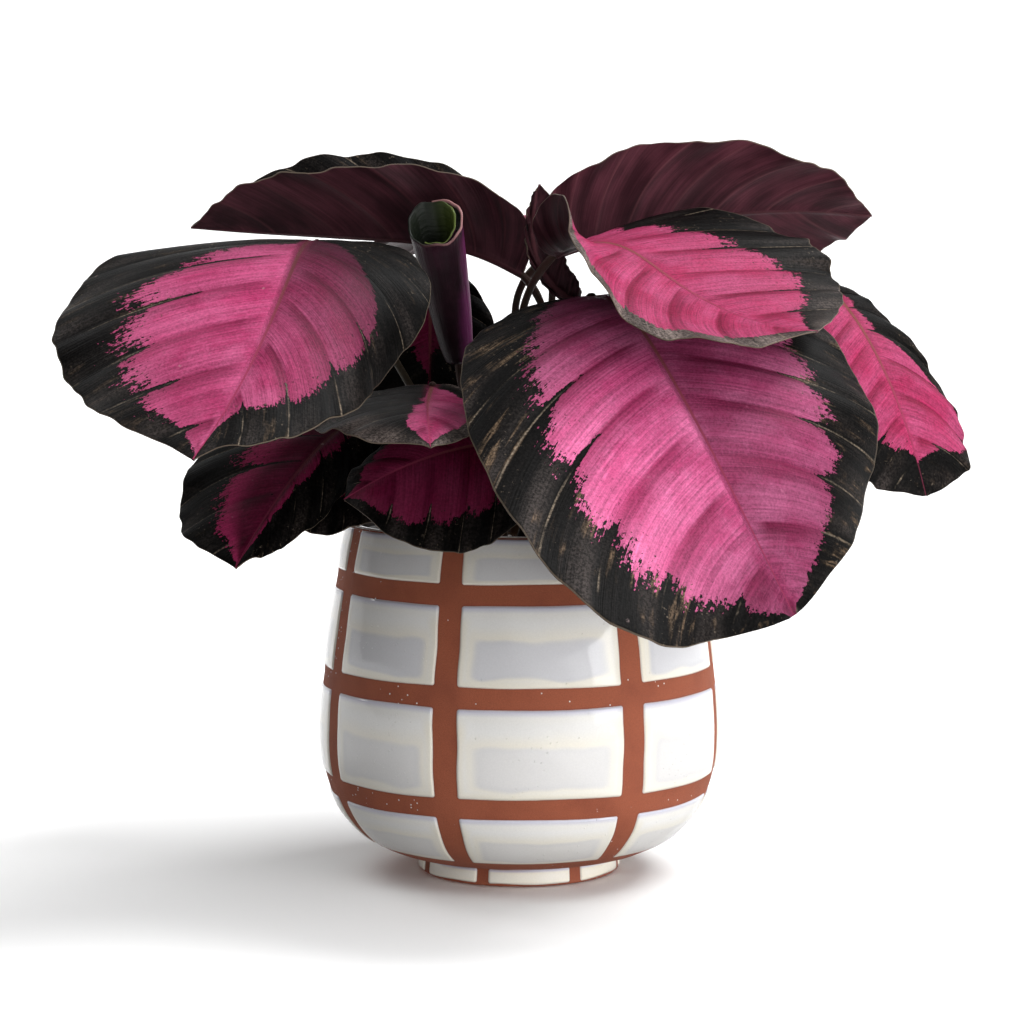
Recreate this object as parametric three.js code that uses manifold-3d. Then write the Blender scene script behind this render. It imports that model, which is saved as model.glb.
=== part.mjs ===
// A potted crimson calathea in a glazed clay planter: broad leaves on arching stems, a plastic
// nursery pot and its soil inside the planter. Millimetres, +Z up, the front is -Y, and the
// origin is on the planter's axis at the level of the table.

import * as THREE from "three";
import { mergeVertices } from "three/addons/utils/BufferGeometryUtils.js";
import Module from "manifold-3d";

const wasm = await Module();
wasm.setup();

const DEGREE = Math.PI / 180;

// Planter: outer outline as [radius, height], from the foot up to the outer edge of the rim.
const FOOT_OUTLINE = [
  [42.0, 0],
  [44.8, 1],
  [44.4, 8.4],
  [50, 9.2],
];
const BODY_OUTLINE = [
  [57, 10.6],
  [64, 13.4],
  [71, 17.8],
  [77, 23.8],
  [82, 31.2],
  [85.8, 40.5],
  [88.2, 51],
  [88.9, 62],
  [88.6, 74],
  [87.6, 87],
  [85.9, 102.5],
  [84.4, 112],
  [82.6, 124],
  [80.8, 136.5],
  [79.4, 145],
  [77.9, 152.0],
];
// The rounded rim and the inside, down to the middle of the floor.
const RIM_AND_INSIDE = [
  [76.9, 155.9],
  [75.2, 157.0],
  [72.8, 156.2],
  [72.0, 153.6],
  [73.6, 143],
  [78.5, 112],
  [82.4, 84],
  [83.2, 62],
  [80.2, 42],
  [72, 25.5],
  [62, 18.8],
  [48, 16.4],
];
const PLANTER_FLOOR = 16.4;
const GLAZE_RISE = 0.5;
const GLAZE_EDGE = 0.9;
const BAND_HEIGHTS = [42, 89.5, 132.5];
const BAND_WIDTH = 9;
const STRIP_WIDTH = 10.5;
const STRIP_ANGLES = [-66.2, -20.9, 33.2, 78.2, 132.1, 186, 239.9];
const PANEL_STEPS = 3;

// Nursery pot: outline as [radius, height], outside first and then the inside.
const NURSERY_OUTLINE = [
  [0, 17],
  [50, 17],
  [52, 18.5],
  [67.4, 140],
  [67.6, 148],
  [69.6, 148.6],
  [70.4, 151.6],
  [69.4, 152.4],
  [67.4, 151.4],
  [66.0, 147],
  [65.8, 139.8],
  [50.2, 21],
  [0, 20],
];
const NURSERY_SIDES = 24;

// Soil: outline as [radius, height]; the crumbs are a small rise and fall of the top.
const SOIL_OUTLINE = [
  [0, 20.5],
  [49.4, 21.6],
  [65.2, 140],
  [64.8, 144.5],
  [50, 145.6],
  [34, 146.6],
  [17, 147.2],
  [0, 147.4],
];
const SOIL_SIDES = 24;
const CRUMB_RISE = 0.7;
const SOIL_LEVEL = 146;
const HOLE_DEPTH = 11;
const HOLE_CLEARANCE = 1.3;
const HOLE_SIDES = 9;

// Leaves: thickness of a blade, height of the rib under it and the grid it is built on.
const BLADE_THICKNESS = 0.9;
const RIB_HEIGHT = 1.3;
const ROWS = 12;
const COLUMNS = 8;
const MIDRIB_STEPS = 60;
const DRIP_TIP = 0.035;
const DRIP_SHARE = 0.1;
const VEIN_POWER = 1.9;

// Stems: thickness, and the gaps to the blade and to the floor of the hole in the soil.
const STEM_RADIUS = 1.8;
const STEM_SIDES = 6;
const STEM_STEPS = 8;
const STEM_GAP = 0.8;
const FOOT_GAP = 0.4;

const COLOURS = {
  clay: { color: 0xdedad2, roughness: 0.28, metalness: 0 },
  nursery: { color: 0x1b1718, roughness: 0.5, metalness: 0 },
  soil: { color: 0x2c211b, roughness: 1, metalness: 0 },
  leaf: { color: 0x8f2452, roughness: 0.45, metalness: 0 },
  stem: { color: 0x3c3224, roughness: 0.55, metalness: 0 },
};

// Each leaf: where its blade starts, the length of its midrib and the widths of the right and
// left halves. heading, pitch, roll, curl and fold are angles in degrees at even stations from
// the start of the midrib to the tip: heading turns about +Z from +X, pitch is upward, a
// positive roll lifts the right half, and curl and fold bend each half toward the upper side.
// full is the power of the swell (lower is blunter), lean moves the widest place of a half
// (below zero is toward the tip), wave and waves are the height and count of the margin's waves,
// root is where the stem leaves the soil, and stemGap is the room between stem and blade.
const LEAVES = [
  {
    name: "front_left", base: [-88, -20, 280], length: 170, right: 98, left: 58, root: [-28, 12],
    heading: [-95, -100, -110, -122], pitch: [8, -30, -40, -40], roll: [0, 6, 9, 8],
    curlRight: [-20, -20, -20, -10], curlLeft: [-10, -50, -70, -50], leanLeft: 1.0,
    wave: 2.4, waves: 3.5,
  },
  {
    name: "front_right", base: [31, -31, 257], length: 190, right: 93, left: 103, root: [14, -24],
    heading: [-70, -62, -36, -6], pitch: [2, -37, -58, -64], roll: [-4, -10, -28, -38],
    curlRight: [-30, -15, 0, 0], curlLeft: [-10, -30, -30, -20], full: 0.5,
    leanRight: -0.6, wave: 1.4, waves: 3.5,
  },
  {
    name: "upper_right", base: [16, -22, 275], length: 134, right: 56, left: 80, root: [8, -12],
    heading: [-24, -43, -38, -26], pitch: [25, -26, -22, -5], roll: [-10, -14, -14, -8],
    curlRight: [150, 60, 15, 0], full: 0.55, leanLeft: -0.45, leanRight: -0.3, wave: 2.4,
    waves: 4, stem: { gap: 1.5 },
  },
  {
    name: "back_right", base: [11, 34, 272], length: 148, right: 41, left: 42, root: [20, 24],
    heading: [5, 5, 0, -5], pitch: [20, 14, 4, -6], roll: [75, 66, 52, 40], full: 0.75,
    foldLeft: [70, 60, 20, 0], leanRight: 0.3, wave: 2.4, waves: 5,
  },
  {
    name: "back_left", base: [1, 14, 266], length: 146, right: 44, left: 37, root: [-8, 10],
    heading: [175, 178, 182, 185], pitch: [30, 6, 3, 4], roll: [-75, -62, -60, -60], full: 0.75,
    foldRight: [90, 120, 120, 90], leanLeft: 0.4, leanRight: 0.2, wave: 2, waves: 3,
  },
  {
    name: "far_right", base: [135, 0, 263], length: 104, right: 38, left: 31, root: [32, 0],
    heading: [-30, -35, -38, -40], pitch: [-42, -57, -66, -74], roll: -20,
    curlRight: -10, curlLeft: -20, full: 0.52, leanLeft: -1.7, leanRight: -0.3, wave: 1.2, waves: 5,
  },
  {
    name: "middle", base: [-38, -22, 218], length: 105, right: 50, left: 30, root: [-12, -28],
    heading: [-92, -90, -88, -86], pitch: [-8, -6, -8, -26], curlRight: -15, curlLeft: -15,
    wave: 2.2, waves: 4,
  },
  {
    name: "inner", base: [26, -9, 254], length: 58, right: 3.5, left: 12, root: [28, 0],
    heading: 180, pitch: [25, 58, 88, 104], roll: -75, curlRight: -10, curlLeft: -10,
    full: 0.6, wave: 1.5, waves: 5,
  },
  {
    name: "lower_left", base: [-58, -20, 206], length: 115, right: 56, left: 24, root: [-32, -26],
    heading: [-130, -128, -126, -122], pitch: [0, -28, -40, -45], roll: [10, 15, 15, 10],
    curlRight: -25, curlLeft: -80, full: 0.78, leanLeft: 0.8, wave: 2.2, waves: 3.5,
  },
  {
    name: "tucked_left", base: [-50, -4, 186], length: 78, right: 32, left: 30, root: [-40, -8],
    heading: -138, pitch: [0, -16, -28, -36], roll: [10, 15, 15, 10],
    curlRight: -25, curlLeft: -40, wave: 3, waves: 3.5,
  },
  {
    name: "lower_middle", base: [7, -62, 197], length: 84, right: 20, left: 46, root: [-2, -44],
    heading: [-165, -168, -172, -175], pitch: [0, -10, -22, -32], roll: [50, 50, 50, 40],
    curlRight: -20, curlLeft: -25, full: 0.72, wave: 1.6, waves: 3.5,
  },
  {
    name: "young", base: [-40, 44, 268], length: 80, right: 33, left: 31, root: [-38, 32],
    heading: -92, pitch: [-50, -78, -85, -88], curlRight: -20, curlLeft: -20,
    wave: 1.5, waves: 2.5,
  },
  {
    name: "rear_top", base: [10, 62, 282], length: 120, right: 46, left: 46, root: [-2, 40],
    heading: [120, 122, 126, 130], pitch: [30, 2, -12, -26], curlRight: -20, curlLeft: -20,
    wave: 2.4, waves: 3.5,
  },
  {
    name: "rear_left", base: [-40, 60, 250], length: 140, right: 58, left: 58, root: [-22, 38],
    heading: [140, 135, 130, 130], pitch: [30, -5, -35, -50], curlRight: -20, curlLeft: -20,
    wave: 2.4, waves: 3.5,
  },
  {
    name: "rear_right", base: [50, 60, 235], length: 140, right: 58, left: 58, root: [26, 32],
    heading: [60, 55, 50, 45], pitch: [20, -10, -40, -55], curlRight: -20, curlLeft: -20,
    wave: 2.4, waves: 3.5,
  },
];

// The rolled young leaf: a sheet wound about a leaning axis, cut slantwise at its mouth.
const ROLLED = {
  name: "rolled",
  foot: [-27, -3, 228],
  mouth: [-38, -17, 292],
  footRadius: 4.6,
  mouthRadius: 13,
  swell: 0.45,
  turns: 1.6,
  turnGap: 0.24,
  mouthSlant: 8,
  thickness: 0.9,
  around: 26,
  along: 5,
  root: [-16, 2],
  stem: { gap: -1.5 },
};

/** The value at a share of the way along evenly spaced stations, smoothly joined. */
function atStations(value, share) {
  if (!Array.isArray(value)) return value ?? 0;
  const last = value.length - 1;
  const x = Math.min(Math.max(share, 0), 1) * last;
  const i = Math.min(Math.floor(x), last - 1);
  const f = x - i;
  const p0 = value[Math.max(i - 1, 0)];
  const p1 = value[i];
  const p2 = value[i + 1];
  const p3 = value[Math.min(i + 2, last)];
  const slope = p2 - p0;
  const bend = 2 * p0 - 5 * p1 + 4 * p2 - p3;
  const twist = 3 * p1 - p0 - 3 * p2 + p3;
  return 0.5 * (2 * p1 + slope * f + bend * f * f + twist * f * f * f);
}

/** Forward, rightward and upper-side directions of a blade at a share of its midrib. */
function bladeFrame(leaf, share) {
  const heading = atStations(leaf.heading, share) * DEGREE;
  const pitch = atStations(leaf.pitch, share) * DEGREE;
  const roll = atStations(leaf.roll, share) * DEGREE;
  const forward = new THREE.Vector3(
    Math.cos(pitch) * Math.cos(heading),
    Math.cos(pitch) * Math.sin(heading),
    Math.sin(pitch)
  );
  const level = new THREE.Vector3(Math.sin(heading), -Math.cos(heading), 0);
  const upper = new THREE.Vector3().crossVectors(level, forward);
  const right = level.clone().multiplyScalar(Math.cos(roll)).addScaledVector(upper, Math.sin(roll));
  upper.multiplyScalar(Math.cos(roll)).addScaledVector(level, -Math.sin(roll));
  return { forward, right, upper };
}

/** Points along the midrib, one more than the number of steps. */
function midribPoints(leaf) {
  const points = [new THREE.Vector3(...leaf.base)];
  for (let i = 0; i < MIDRIB_STEPS; i++) {
    const { forward } = bladeFrame(leaf, (i + 0.5) / MIDRIB_STEPS);
    const next = points[i].clone().addScaledVector(forward, leaf.length / MIDRIB_STEPS);
    points.push(next);
  }
  return points;
}

/**
 * The blade laid flat: t is the number of the side vein, 0 at the start of the midrib and 1 at
 * the tip, and v runs from -1 at the left margin to 1 at the right one.
 */
function flatBlade(leaf, t, v) {
  const turn = Math.PI * t;
  const nearTip = Math.max(0, 1 - (1 - t) / DRIP_SHARE);
  const marginX = 0.5 - 0.5 * Math.cos(turn) + DRIP_TIP * nearTip * nearTip;
  const lean = 1 + ((v > 0 ? leaf.leanRight : leaf.leanLeft) ?? 0) * (0.5 - t);
  const swell = Math.pow(Math.max(Math.sin(turn), 0), leaf.full ?? 0.85);
  const marginY = swell * (1 - 0.35 * nearTip) * lean;
  const startX = t > 0.999 ? marginX : Math.pow(t, VEIN_POWER);
  const bendX = startX + 0.3 * (marginX - startX);
  const bendY = 0.56 * marginY;
  const u = Math.abs(v);
  const x = (1 - u) * (1 - u) * startX + 2 * u * (1 - u) * bendX + u * u * marginX;
  const y = 2 * u * (1 - u) * bendY + u * u * marginY;
  const half = v > 0 ? leaf.right : leaf.left;
  return { x: x * leaf.length, y: y * half, half };
}

/** A point of the blade's middle surface in space. */
function bladePoint(leaf, midrib, t, v) {
  const { x, y, half } = flatBlade(leaf, t, v);
  const share = Math.min(Math.max(x / leaf.length, 0), 1);
  const { forward, right, upper } = bladeFrame(leaf, share);
  const step = Math.min(Math.floor(share * MIDRIB_STEPS), MIDRIB_STEPS - 1);
  const point = midrib[step].clone().lerp(midrib[step + 1], share * MIDRIB_STEPS - step);
  point.addScaledVector(forward, x - share * leaf.length);

  const side = v > 0 ? 1 : -1;
  const fold = atStations(v > 0 ? leaf.foldRight : leaf.foldLeft, share) * DEGREE;
  const curl = atStations(v > 0 ? leaf.curlRight : leaf.curlLeft, share) * DEGREE;
  let turn = curl / half;
  if (Math.abs(turn) < 1e-6) turn = 1e-6;
  const angle = fold + turn * y;
  const out = (Math.sin(angle) - Math.sin(fold)) / turn;
  const rise = (Math.cos(fold) - Math.cos(angle)) / turn;
  point.addScaledVector(right, side * out).addScaledVector(upper, rise);

  const phase = v > 0 ? 1.3 : 0;
  const swing = Math.sin(2 * Math.PI * leaf.waves * t + phase) * Math.sqrt(Math.sin(Math.PI * t));
  const wave = leaf.wave * Math.pow(Math.abs(v), 3) * (t > 0 && t < 1 ? swing : 0);
  point.addScaledVector(upper, wave * Math.cos(angle));
  point.addScaledVector(right, -wave * side * Math.sin(angle));
  return point;
}

/** A closed geometry from points and triangles. */
function solidFrom(points, triangles) {
  const geometry = new THREE.BufferGeometry();
  const position = new Float32Array(points.length * 3);
  points.forEach((point, i) => point.toArray(position, 3 * i));
  geometry.setAttribute("position", new THREE.BufferAttribute(position, 3));
  geometry.setIndex(triangles);
  return geometry;
}

/** The outline of a grid of faces, listed as pairs of points in the faces' own direction. */
function openEdges(triangles) {
  const edges = new Map();
  for (let i = 0; i < triangles.length; i += 3) {
    for (let k = 0; k < 3; k++) {
      const from = triangles[i + k];
      const to = triangles[i + ((k + 1) % 3)];
      if (edges.has(`${to},${from}`)) edges.delete(`${to},${from}`);
      else edges.set(`${from},${to}`, [from, to]);
    }
  }
  return [...edges.values()];
}

/** A sheet given as its points, thickened both ways along the normals into one closed body. */
function thickened(points, triangles, upward, downward) {
  const normals = points.map(() => new THREE.Vector3());
  for (let i = 0; i < triangles.length; i += 3) {
    const [a, b, c] = [0, 1, 2].map((k) => points[triangles[i + k]]);
    const face = new THREE.Vector3().crossVectors(b.clone().sub(a), c.clone().sub(a));
    for (let k = 0; k < 3; k++) normals[triangles[i + k]].add(face);
  }
  normals.forEach((normal) => normal.normalize());
  const count = points.length;
  const solid = [
    ...points.map((point, i) => point.clone().addScaledVector(normals[i], upward)),
    ...points.map((point, i) => point.clone().addScaledVector(normals[i], -downward(i))),
  ];
  const faces = [...triangles];
  for (let i = 0; i < triangles.length; i += 3) {
    faces.push(triangles[i] + count, triangles[i + 2] + count, triangles[i + 1] + count);
  }
  for (const [from, to] of openEdges(triangles)) {
    faces.push(to, from, from + count, to, from + count, to + count);
  }
  return solidFrom(solid, faces);
}

/** One blade as a closed body: both faces share one pattern of triangles. */
function bladeGeometry(leaf) {
  const midrib = midribPoints(leaf);
  const points = [bladePoint(leaf, midrib, 0, 0)];
  const ribs = [RIB_HEIGHT * 0.5];
  for (let row = 1; row < ROWS; row++) {
    for (let column = 0; column <= COLUMNS; column++) {
      points.push(bladePoint(leaf, midrib, row / ROWS, (2 * column) / COLUMNS - 1));
      ribs.push(column * 2 === COLUMNS ? RIB_HEIGHT * (1 - (0.85 * row) / ROWS) : 0);
    }
  }
  points.push(bladePoint(leaf, midrib, 1, 0));
  ribs.push(0);
  const at = (row, column) => 1 + (row - 1) * (COLUMNS + 1) + column;
  const tip = points.length - 1;
  const triangles = [];
  for (let column = 0; column < COLUMNS; column++) {
    triangles.push(0, at(1, column + 1), at(1, column));
    for (let row = 1; row < ROWS - 1; row++) {
      const [a, b] = [at(row, column), at(row, column + 1)];
      const [c, d] = [at(row + 1, column + 1), at(row + 1, column)];
      if (column * 2 < COLUMNS) triangles.push(a, b, c, a, c, d);
      else triangles.push(a, b, d, b, c, d);
    }
    triangles.push(at(ROWS - 1, column), at(ROWS - 1, column + 1), tip);
  }
  const half = BLADE_THICKNESS / 2;
  return thickened(points, triangles, half, (i) => half + ribs[i]);
}

/** The rolled leaf: a wound sheet, wider at its mouth than at its foot. */
function rolledGeometry(roll) {
  const foot = new THREE.Vector3(...roll.foot);
  const axis = new THREE.Vector3(...roll.mouth).sub(foot);
  const length = axis.length();
  axis.normalize();
  const across = new THREE.Vector3(1, 0, 0).addScaledVector(axis, -axis.x).normalize();
  const forth = new THREE.Vector3().crossVectors(axis, across);
  const points = [];
  for (let j = 0; j <= roll.along; j++) {
    for (let i = 0; i <= roll.around; i++) {
      const angle = ((i / roll.around) * roll.turns - 0.35) * 2 * Math.PI;
      const inward = 1 - roll.turnGap * roll.turns * (1 - i / roll.around);
      const slant = roll.mouthSlant * (Math.sin(angle) - 0.4);
      const along = (j / roll.along) * (length + slant);
      const share = Math.pow(along / length, roll.swell);
      const radius = (roll.footRadius + (roll.mouthRadius - roll.footRadius) * share) * inward;
      const point = foot.clone().addScaledVector(axis, along);
      point.addScaledVector(across, radius * Math.cos(angle));
      points.push(point.addScaledVector(forth, radius * Math.sin(angle)));
    }
  }
  const triangles = [];
  const width = roll.around + 1;
  for (let j = 0; j < roll.along; j++) {
    for (let i = 0; i < roll.around; i++) {
      const a = j * width + i;
      triangles.push(a, a + 1, a + width + 1, a, a + width + 1, a + width);
    }
  }
  const half = roll.thickness / 2;
  return thickened(points, triangles, half, () => half);
}

/** The stem from its place in the soil up to the start of a blade. */
function stemCurve(root, base, direction, bend) {
  const foot = new THREE.Vector3(root[0], root[1], SOIL_LEVEL - HOLE_DEPTH + FOOT_GAP);
  const end = new THREE.Vector3(...base).addScaledVector(direction, -(bend?.gap ?? STEM_GAP));
  const reach = foot.distanceTo(end);
  const above = foot.clone().add(new THREE.Vector3(0, 0, (bend?.rise ?? 0.5) * reach));
  const before = end.clone().addScaledVector(direction, -(bend?.lead ?? 0.25) * reach);
  before.z -= (bend?.sag ?? 0.1) * reach;
  return new THREE.CubicBezierCurve3(foot, above, before, end);
}

/** A round stem along a curve. */
function stemGeometry(curve) {
  const shape = new THREE.Shape();
  for (let i = 0; i < STEM_SIDES; i++) {
    const angle = (i / STEM_SIDES) * 2 * Math.PI;
    const [x, y] = [STEM_RADIUS * Math.cos(angle), STEM_RADIUS * Math.sin(angle)];
    if (i === 0) shape.moveTo(x, y);
    else shape.lineTo(x, y);
  }
  shape.closePath();
  return new THREE.ExtrudeGeometry(shape, {
    steps: STEM_STEPS,
    extrudePath: curve,
    bevelEnabled: false,
    curveSegments: 1,
  });
}

/** Position-only copy of a geometry with its shared points merged. */
function merged(geometry) {
  const plain = geometry.clone();
  plain.deleteAttribute("normal");
  plain.deleteAttribute("uv");
  return mergeVertices(plain, 1e-4);
}

/** A solid for cutting and joining. */
function asSolid(geometry) {
  const plain = merged(geometry);
  return new wasm.Manifold(
    new wasm.Mesh({
      numProp: 3,
      vertProperties: new Float32Array(plain.attributes.position.array),
      triVerts: new Uint32Array(plain.index.array),
    })
  );
}

/** The geometry of a solid after cutting. */
function fromSolid(solid) {
  const mesh = solid.getMesh();
  const geometry = new THREE.BufferGeometry();
  geometry.setAttribute("position", new THREE.BufferAttribute(mesh.vertProperties, 3));
  geometry.setIndex(new THREE.BufferAttribute(mesh.triVerts, 1));
  return geometry;
}

/** A solid of revolution about +Z from [radius, height] points that start and end on the axis. */
function turned(outline, sides) {
  const points = outline.map(([radius, height]) => new THREE.Vector2(radius, height));
  const geometry = new THREE.LatheGeometry(points, sides);
  geometry.rotateX(Math.PI / 2);
  return merged(geometry);
}

/** Columns of the planter: angle from the front, and how far the glaze has risen there. */
function planterColumns() {
  const columns = [];
  const halfStrip = (STRIP_WIDTH / 2 / 86) / DEGREE;
  const edge = (GLAZE_EDGE / 86) / DEGREE;
  STRIP_ANGLES.forEach((angle, k) => {
    const next = k + 1 < STRIP_ANGLES.length ? STRIP_ANGLES[k + 1] : STRIP_ANGLES[0] + 360;
    columns.push([angle - halfStrip, 0], [angle + halfStrip, 0]);
    const from = angle + halfStrip + edge;
    const to = next - halfStrip - edge;
    for (let i = 0; i <= PANEL_STEPS; i++) {
      columns.push([from + ((to - from) * i) / PANEL_STEPS, 1]);
    }
  });
  return columns;
}

/** Radius of the planter's body at a height. */
function bodyRadius(height) {
  for (let i = 1; i < BODY_OUTLINE.length; i++) {
    const [r0, z0] = BODY_OUTLINE[i - 1];
    const [r1, z1] = BODY_OUTLINE[i];
    if (height <= z1) return r0 + ((r1 - r0) * (height - z0)) / (z1 - z0);
  }
  return BODY_OUTLINE[BODY_OUTLINE.length - 1][0];
}

/** Rows of the planter from the foot to the middle of its floor: radius, height and glaze. */
function planterRows() {
  const rows = FOOT_OUTLINE.map(([radius, height]) => [radius, height, 0]);
  const cuts = BAND_HEIGHTS.flatMap((middle) => [
    [middle - BAND_WIDTH / 2 - GLAZE_EDGE, 1],
    [middle - BAND_WIDTH / 2, 0],
    [middle + BAND_WIDTH / 2, 0],
    [middle + BAND_WIDTH / 2 + GLAZE_EDGE, 1],
  ]);
  const inBand = (height) =>
    BAND_HEIGHTS.some((middle) => Math.abs(height - middle) < BAND_WIDTH / 2 + GLAZE_EDGE + 1.5);
  const body = BODY_OUTLINE.filter(([, height]) => !inBand(height)).map(([radius, height]) => [
    radius, height, height < 14 ? 0 : 1,
  ]);
  cuts.forEach(([height, glaze]) => body.push([bodyRadius(height), height, glaze]));
  body.sort((a, b) => a[1] - b[1]);
  rows.push(...body);
  RIM_AND_INSIDE.forEach(([radius, height]) => rows.push([radius, height, 0]));
  return rows;
}

/** The planter: clay strips and bands lie lower than the glazed panels between them. */
function planterGeometry() {
  const columns = planterColumns();
  const rows = planterRows();
  const points = [new THREE.Vector3(0, 0, 0)];
  for (const [radius, height, rowGlaze] of rows) {
    for (const [angle, columnGlaze] of columns) {
      const full = radius + GLAZE_RISE * rowGlaze * columnGlaze;
      const turn = angle * DEGREE;
      points.push(new THREE.Vector3(full * Math.sin(turn), -full * Math.cos(turn), height));
    }
  }
  points.push(new THREE.Vector3(0, 0, PLANTER_FLOOR));
  const width = columns.length;
  const at = (row, column) => 1 + row * width + (column % width);
  const last = points.length - 1;
  const triangles = [];
  for (let column = 0; column < width; column++) {
    triangles.push(0, at(0, column + 1), at(0, column));
    for (let row = 0; row + 1 < rows.length; row++) {
      const [a, b] = [at(row, column), at(row, column + 1)];
      const [c, d] = [at(row + 1, column + 1), at(row + 1, column)];
      triangles.push(a, b, c, a, c, d);
    }
    triangles.push(at(rows.length - 1, column), at(rows.length - 1, column + 1), last);
  }
  return solidFrom(points, triangles);
}

/** The soil with a hole for each stem. */
function soilGeometry(roots) {
  const geometry = turned(SOIL_OUTLINE, SOIL_SIDES);
  const position = geometry.attributes.position;
  for (let i = 0; i < position.count; i++) {
    const [x, y, z] = [position.getX(i), position.getY(i), position.getZ(i)];
    const inside = Math.hypot(x, y) < 60 && z > 145;
    const crumb = CRUMB_RISE * Math.sin(0.31 * x + 1) * Math.cos(0.27 * y);
    if (inside) position.setZ(i, z + crumb);
  }
  let soil = asSolid(geometry);
  for (const [x, y] of roots) {
    const radius = STEM_RADIUS + HOLE_CLEARANCE;
    const hole = new THREE.CylinderGeometry(radius, radius, 2 * HOLE_DEPTH, HOLE_SIDES);
    hole.rotateX(Math.PI / 2);
    hole.translate(x, y, SOIL_LEVEL);
    soil = soil.subtract(asSolid(hole));
  }
  return fromSolid(soil);
}

const plant = new THREE.Group();

/** Adds one named piece with its own material. */
function addPiece(name, geometry, look) {
  const mesh = new THREE.Mesh(geometry, new THREE.MeshStandardMaterial(look));
  mesh.name = name;
  plant.add(mesh);
}

addPiece("planter", planterGeometry(), COLOURS.clay);
addPiece("nursery_pot", turned(NURSERY_OUTLINE, NURSERY_SIDES), COLOURS.nursery);
const roots = [...LEAVES.map((leaf) => leaf.root), ROLLED.root];
addPiece("soil", soilGeometry(roots), COLOURS.soil);

for (const leaf of LEAVES) {
  const { forward } = bladeFrame(leaf, 0);
  const curve = stemCurve(leaf.root, leaf.base, forward, leaf.stem);
  addPiece(`leaf_${leaf.name}`, bladeGeometry(leaf), COLOURS.leaf);
  addPiece(`stem_${leaf.name}`, stemGeometry(curve), COLOURS.stem);
}

const rollAxis = new THREE.Vector3(...ROLLED.mouth).sub(new THREE.Vector3(...ROLLED.foot));
const rolledStem = stemCurve(ROLLED.root, ROLLED.foot, rollAxis.normalize(), ROLLED.stem);
addPiece("leaf_rolled", rolledGeometry(ROLLED), COLOURS.leaf);
addPiece("stem_rolled", stemGeometry(rolledStem), COLOURS.stem);

export default plant;
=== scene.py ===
"""The looks of a potted crimson calathea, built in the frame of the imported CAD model.

The numbers of the leaves, stems and pots are millimetres and become metres where a mesh is made.
+Z is up, the front is -Y, and the origin is on the planter's axis at the level of the table.
"""

import math

import bpy
import numpy as np
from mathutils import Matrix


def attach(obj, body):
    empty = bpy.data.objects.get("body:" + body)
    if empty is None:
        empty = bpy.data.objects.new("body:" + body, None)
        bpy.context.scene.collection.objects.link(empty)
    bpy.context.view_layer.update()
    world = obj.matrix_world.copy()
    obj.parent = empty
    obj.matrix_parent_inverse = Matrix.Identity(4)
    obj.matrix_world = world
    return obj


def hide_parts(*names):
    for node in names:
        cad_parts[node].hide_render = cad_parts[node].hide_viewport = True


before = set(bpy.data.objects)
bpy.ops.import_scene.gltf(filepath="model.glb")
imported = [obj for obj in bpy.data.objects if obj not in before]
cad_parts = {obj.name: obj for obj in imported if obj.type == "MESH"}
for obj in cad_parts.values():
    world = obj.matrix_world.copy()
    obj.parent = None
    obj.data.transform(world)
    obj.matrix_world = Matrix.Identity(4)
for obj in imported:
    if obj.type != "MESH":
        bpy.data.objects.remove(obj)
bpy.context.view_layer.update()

MM = 0.001

# Blades: the grid that each is built on, and how close the side veins start at the foot.
BLADE_ROWS = 132
BLADE_COLUMNS = 68
MIDRIB_STEPS = 60
VEIN_POWER = 1.9
# The drawn-out tip as shares of the length: how far it reaches and where it starts.
DRIP_TIP = 0.035
DRIP_SHARE = 0.1
# Thickness, the rib below the midrib and the groove above it, and the relief of the upper side.
BLADE_THICKNESS = 0.9
RIB_HEIGHT = 1.3
RIB_WIDTH = 1.7
GROOVE_DEPTH = 0.5
GROOVE_WIDTH = 1.3
PLEAT_HEIGHT = 1.35
RUFFLE_HEIGHT = 0.5

# Stems: thickness, how they stand in the soil and how far they reach into a blade.
STEM_RADIUS = 1.8
STEM_SIDES = 16
STEM_STEPS = 48
SOIL_LEVEL = 146
HOLE_DEPTH = 11
FOOT_GAP = 0.4
STEM_REACH = 2.0

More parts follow.
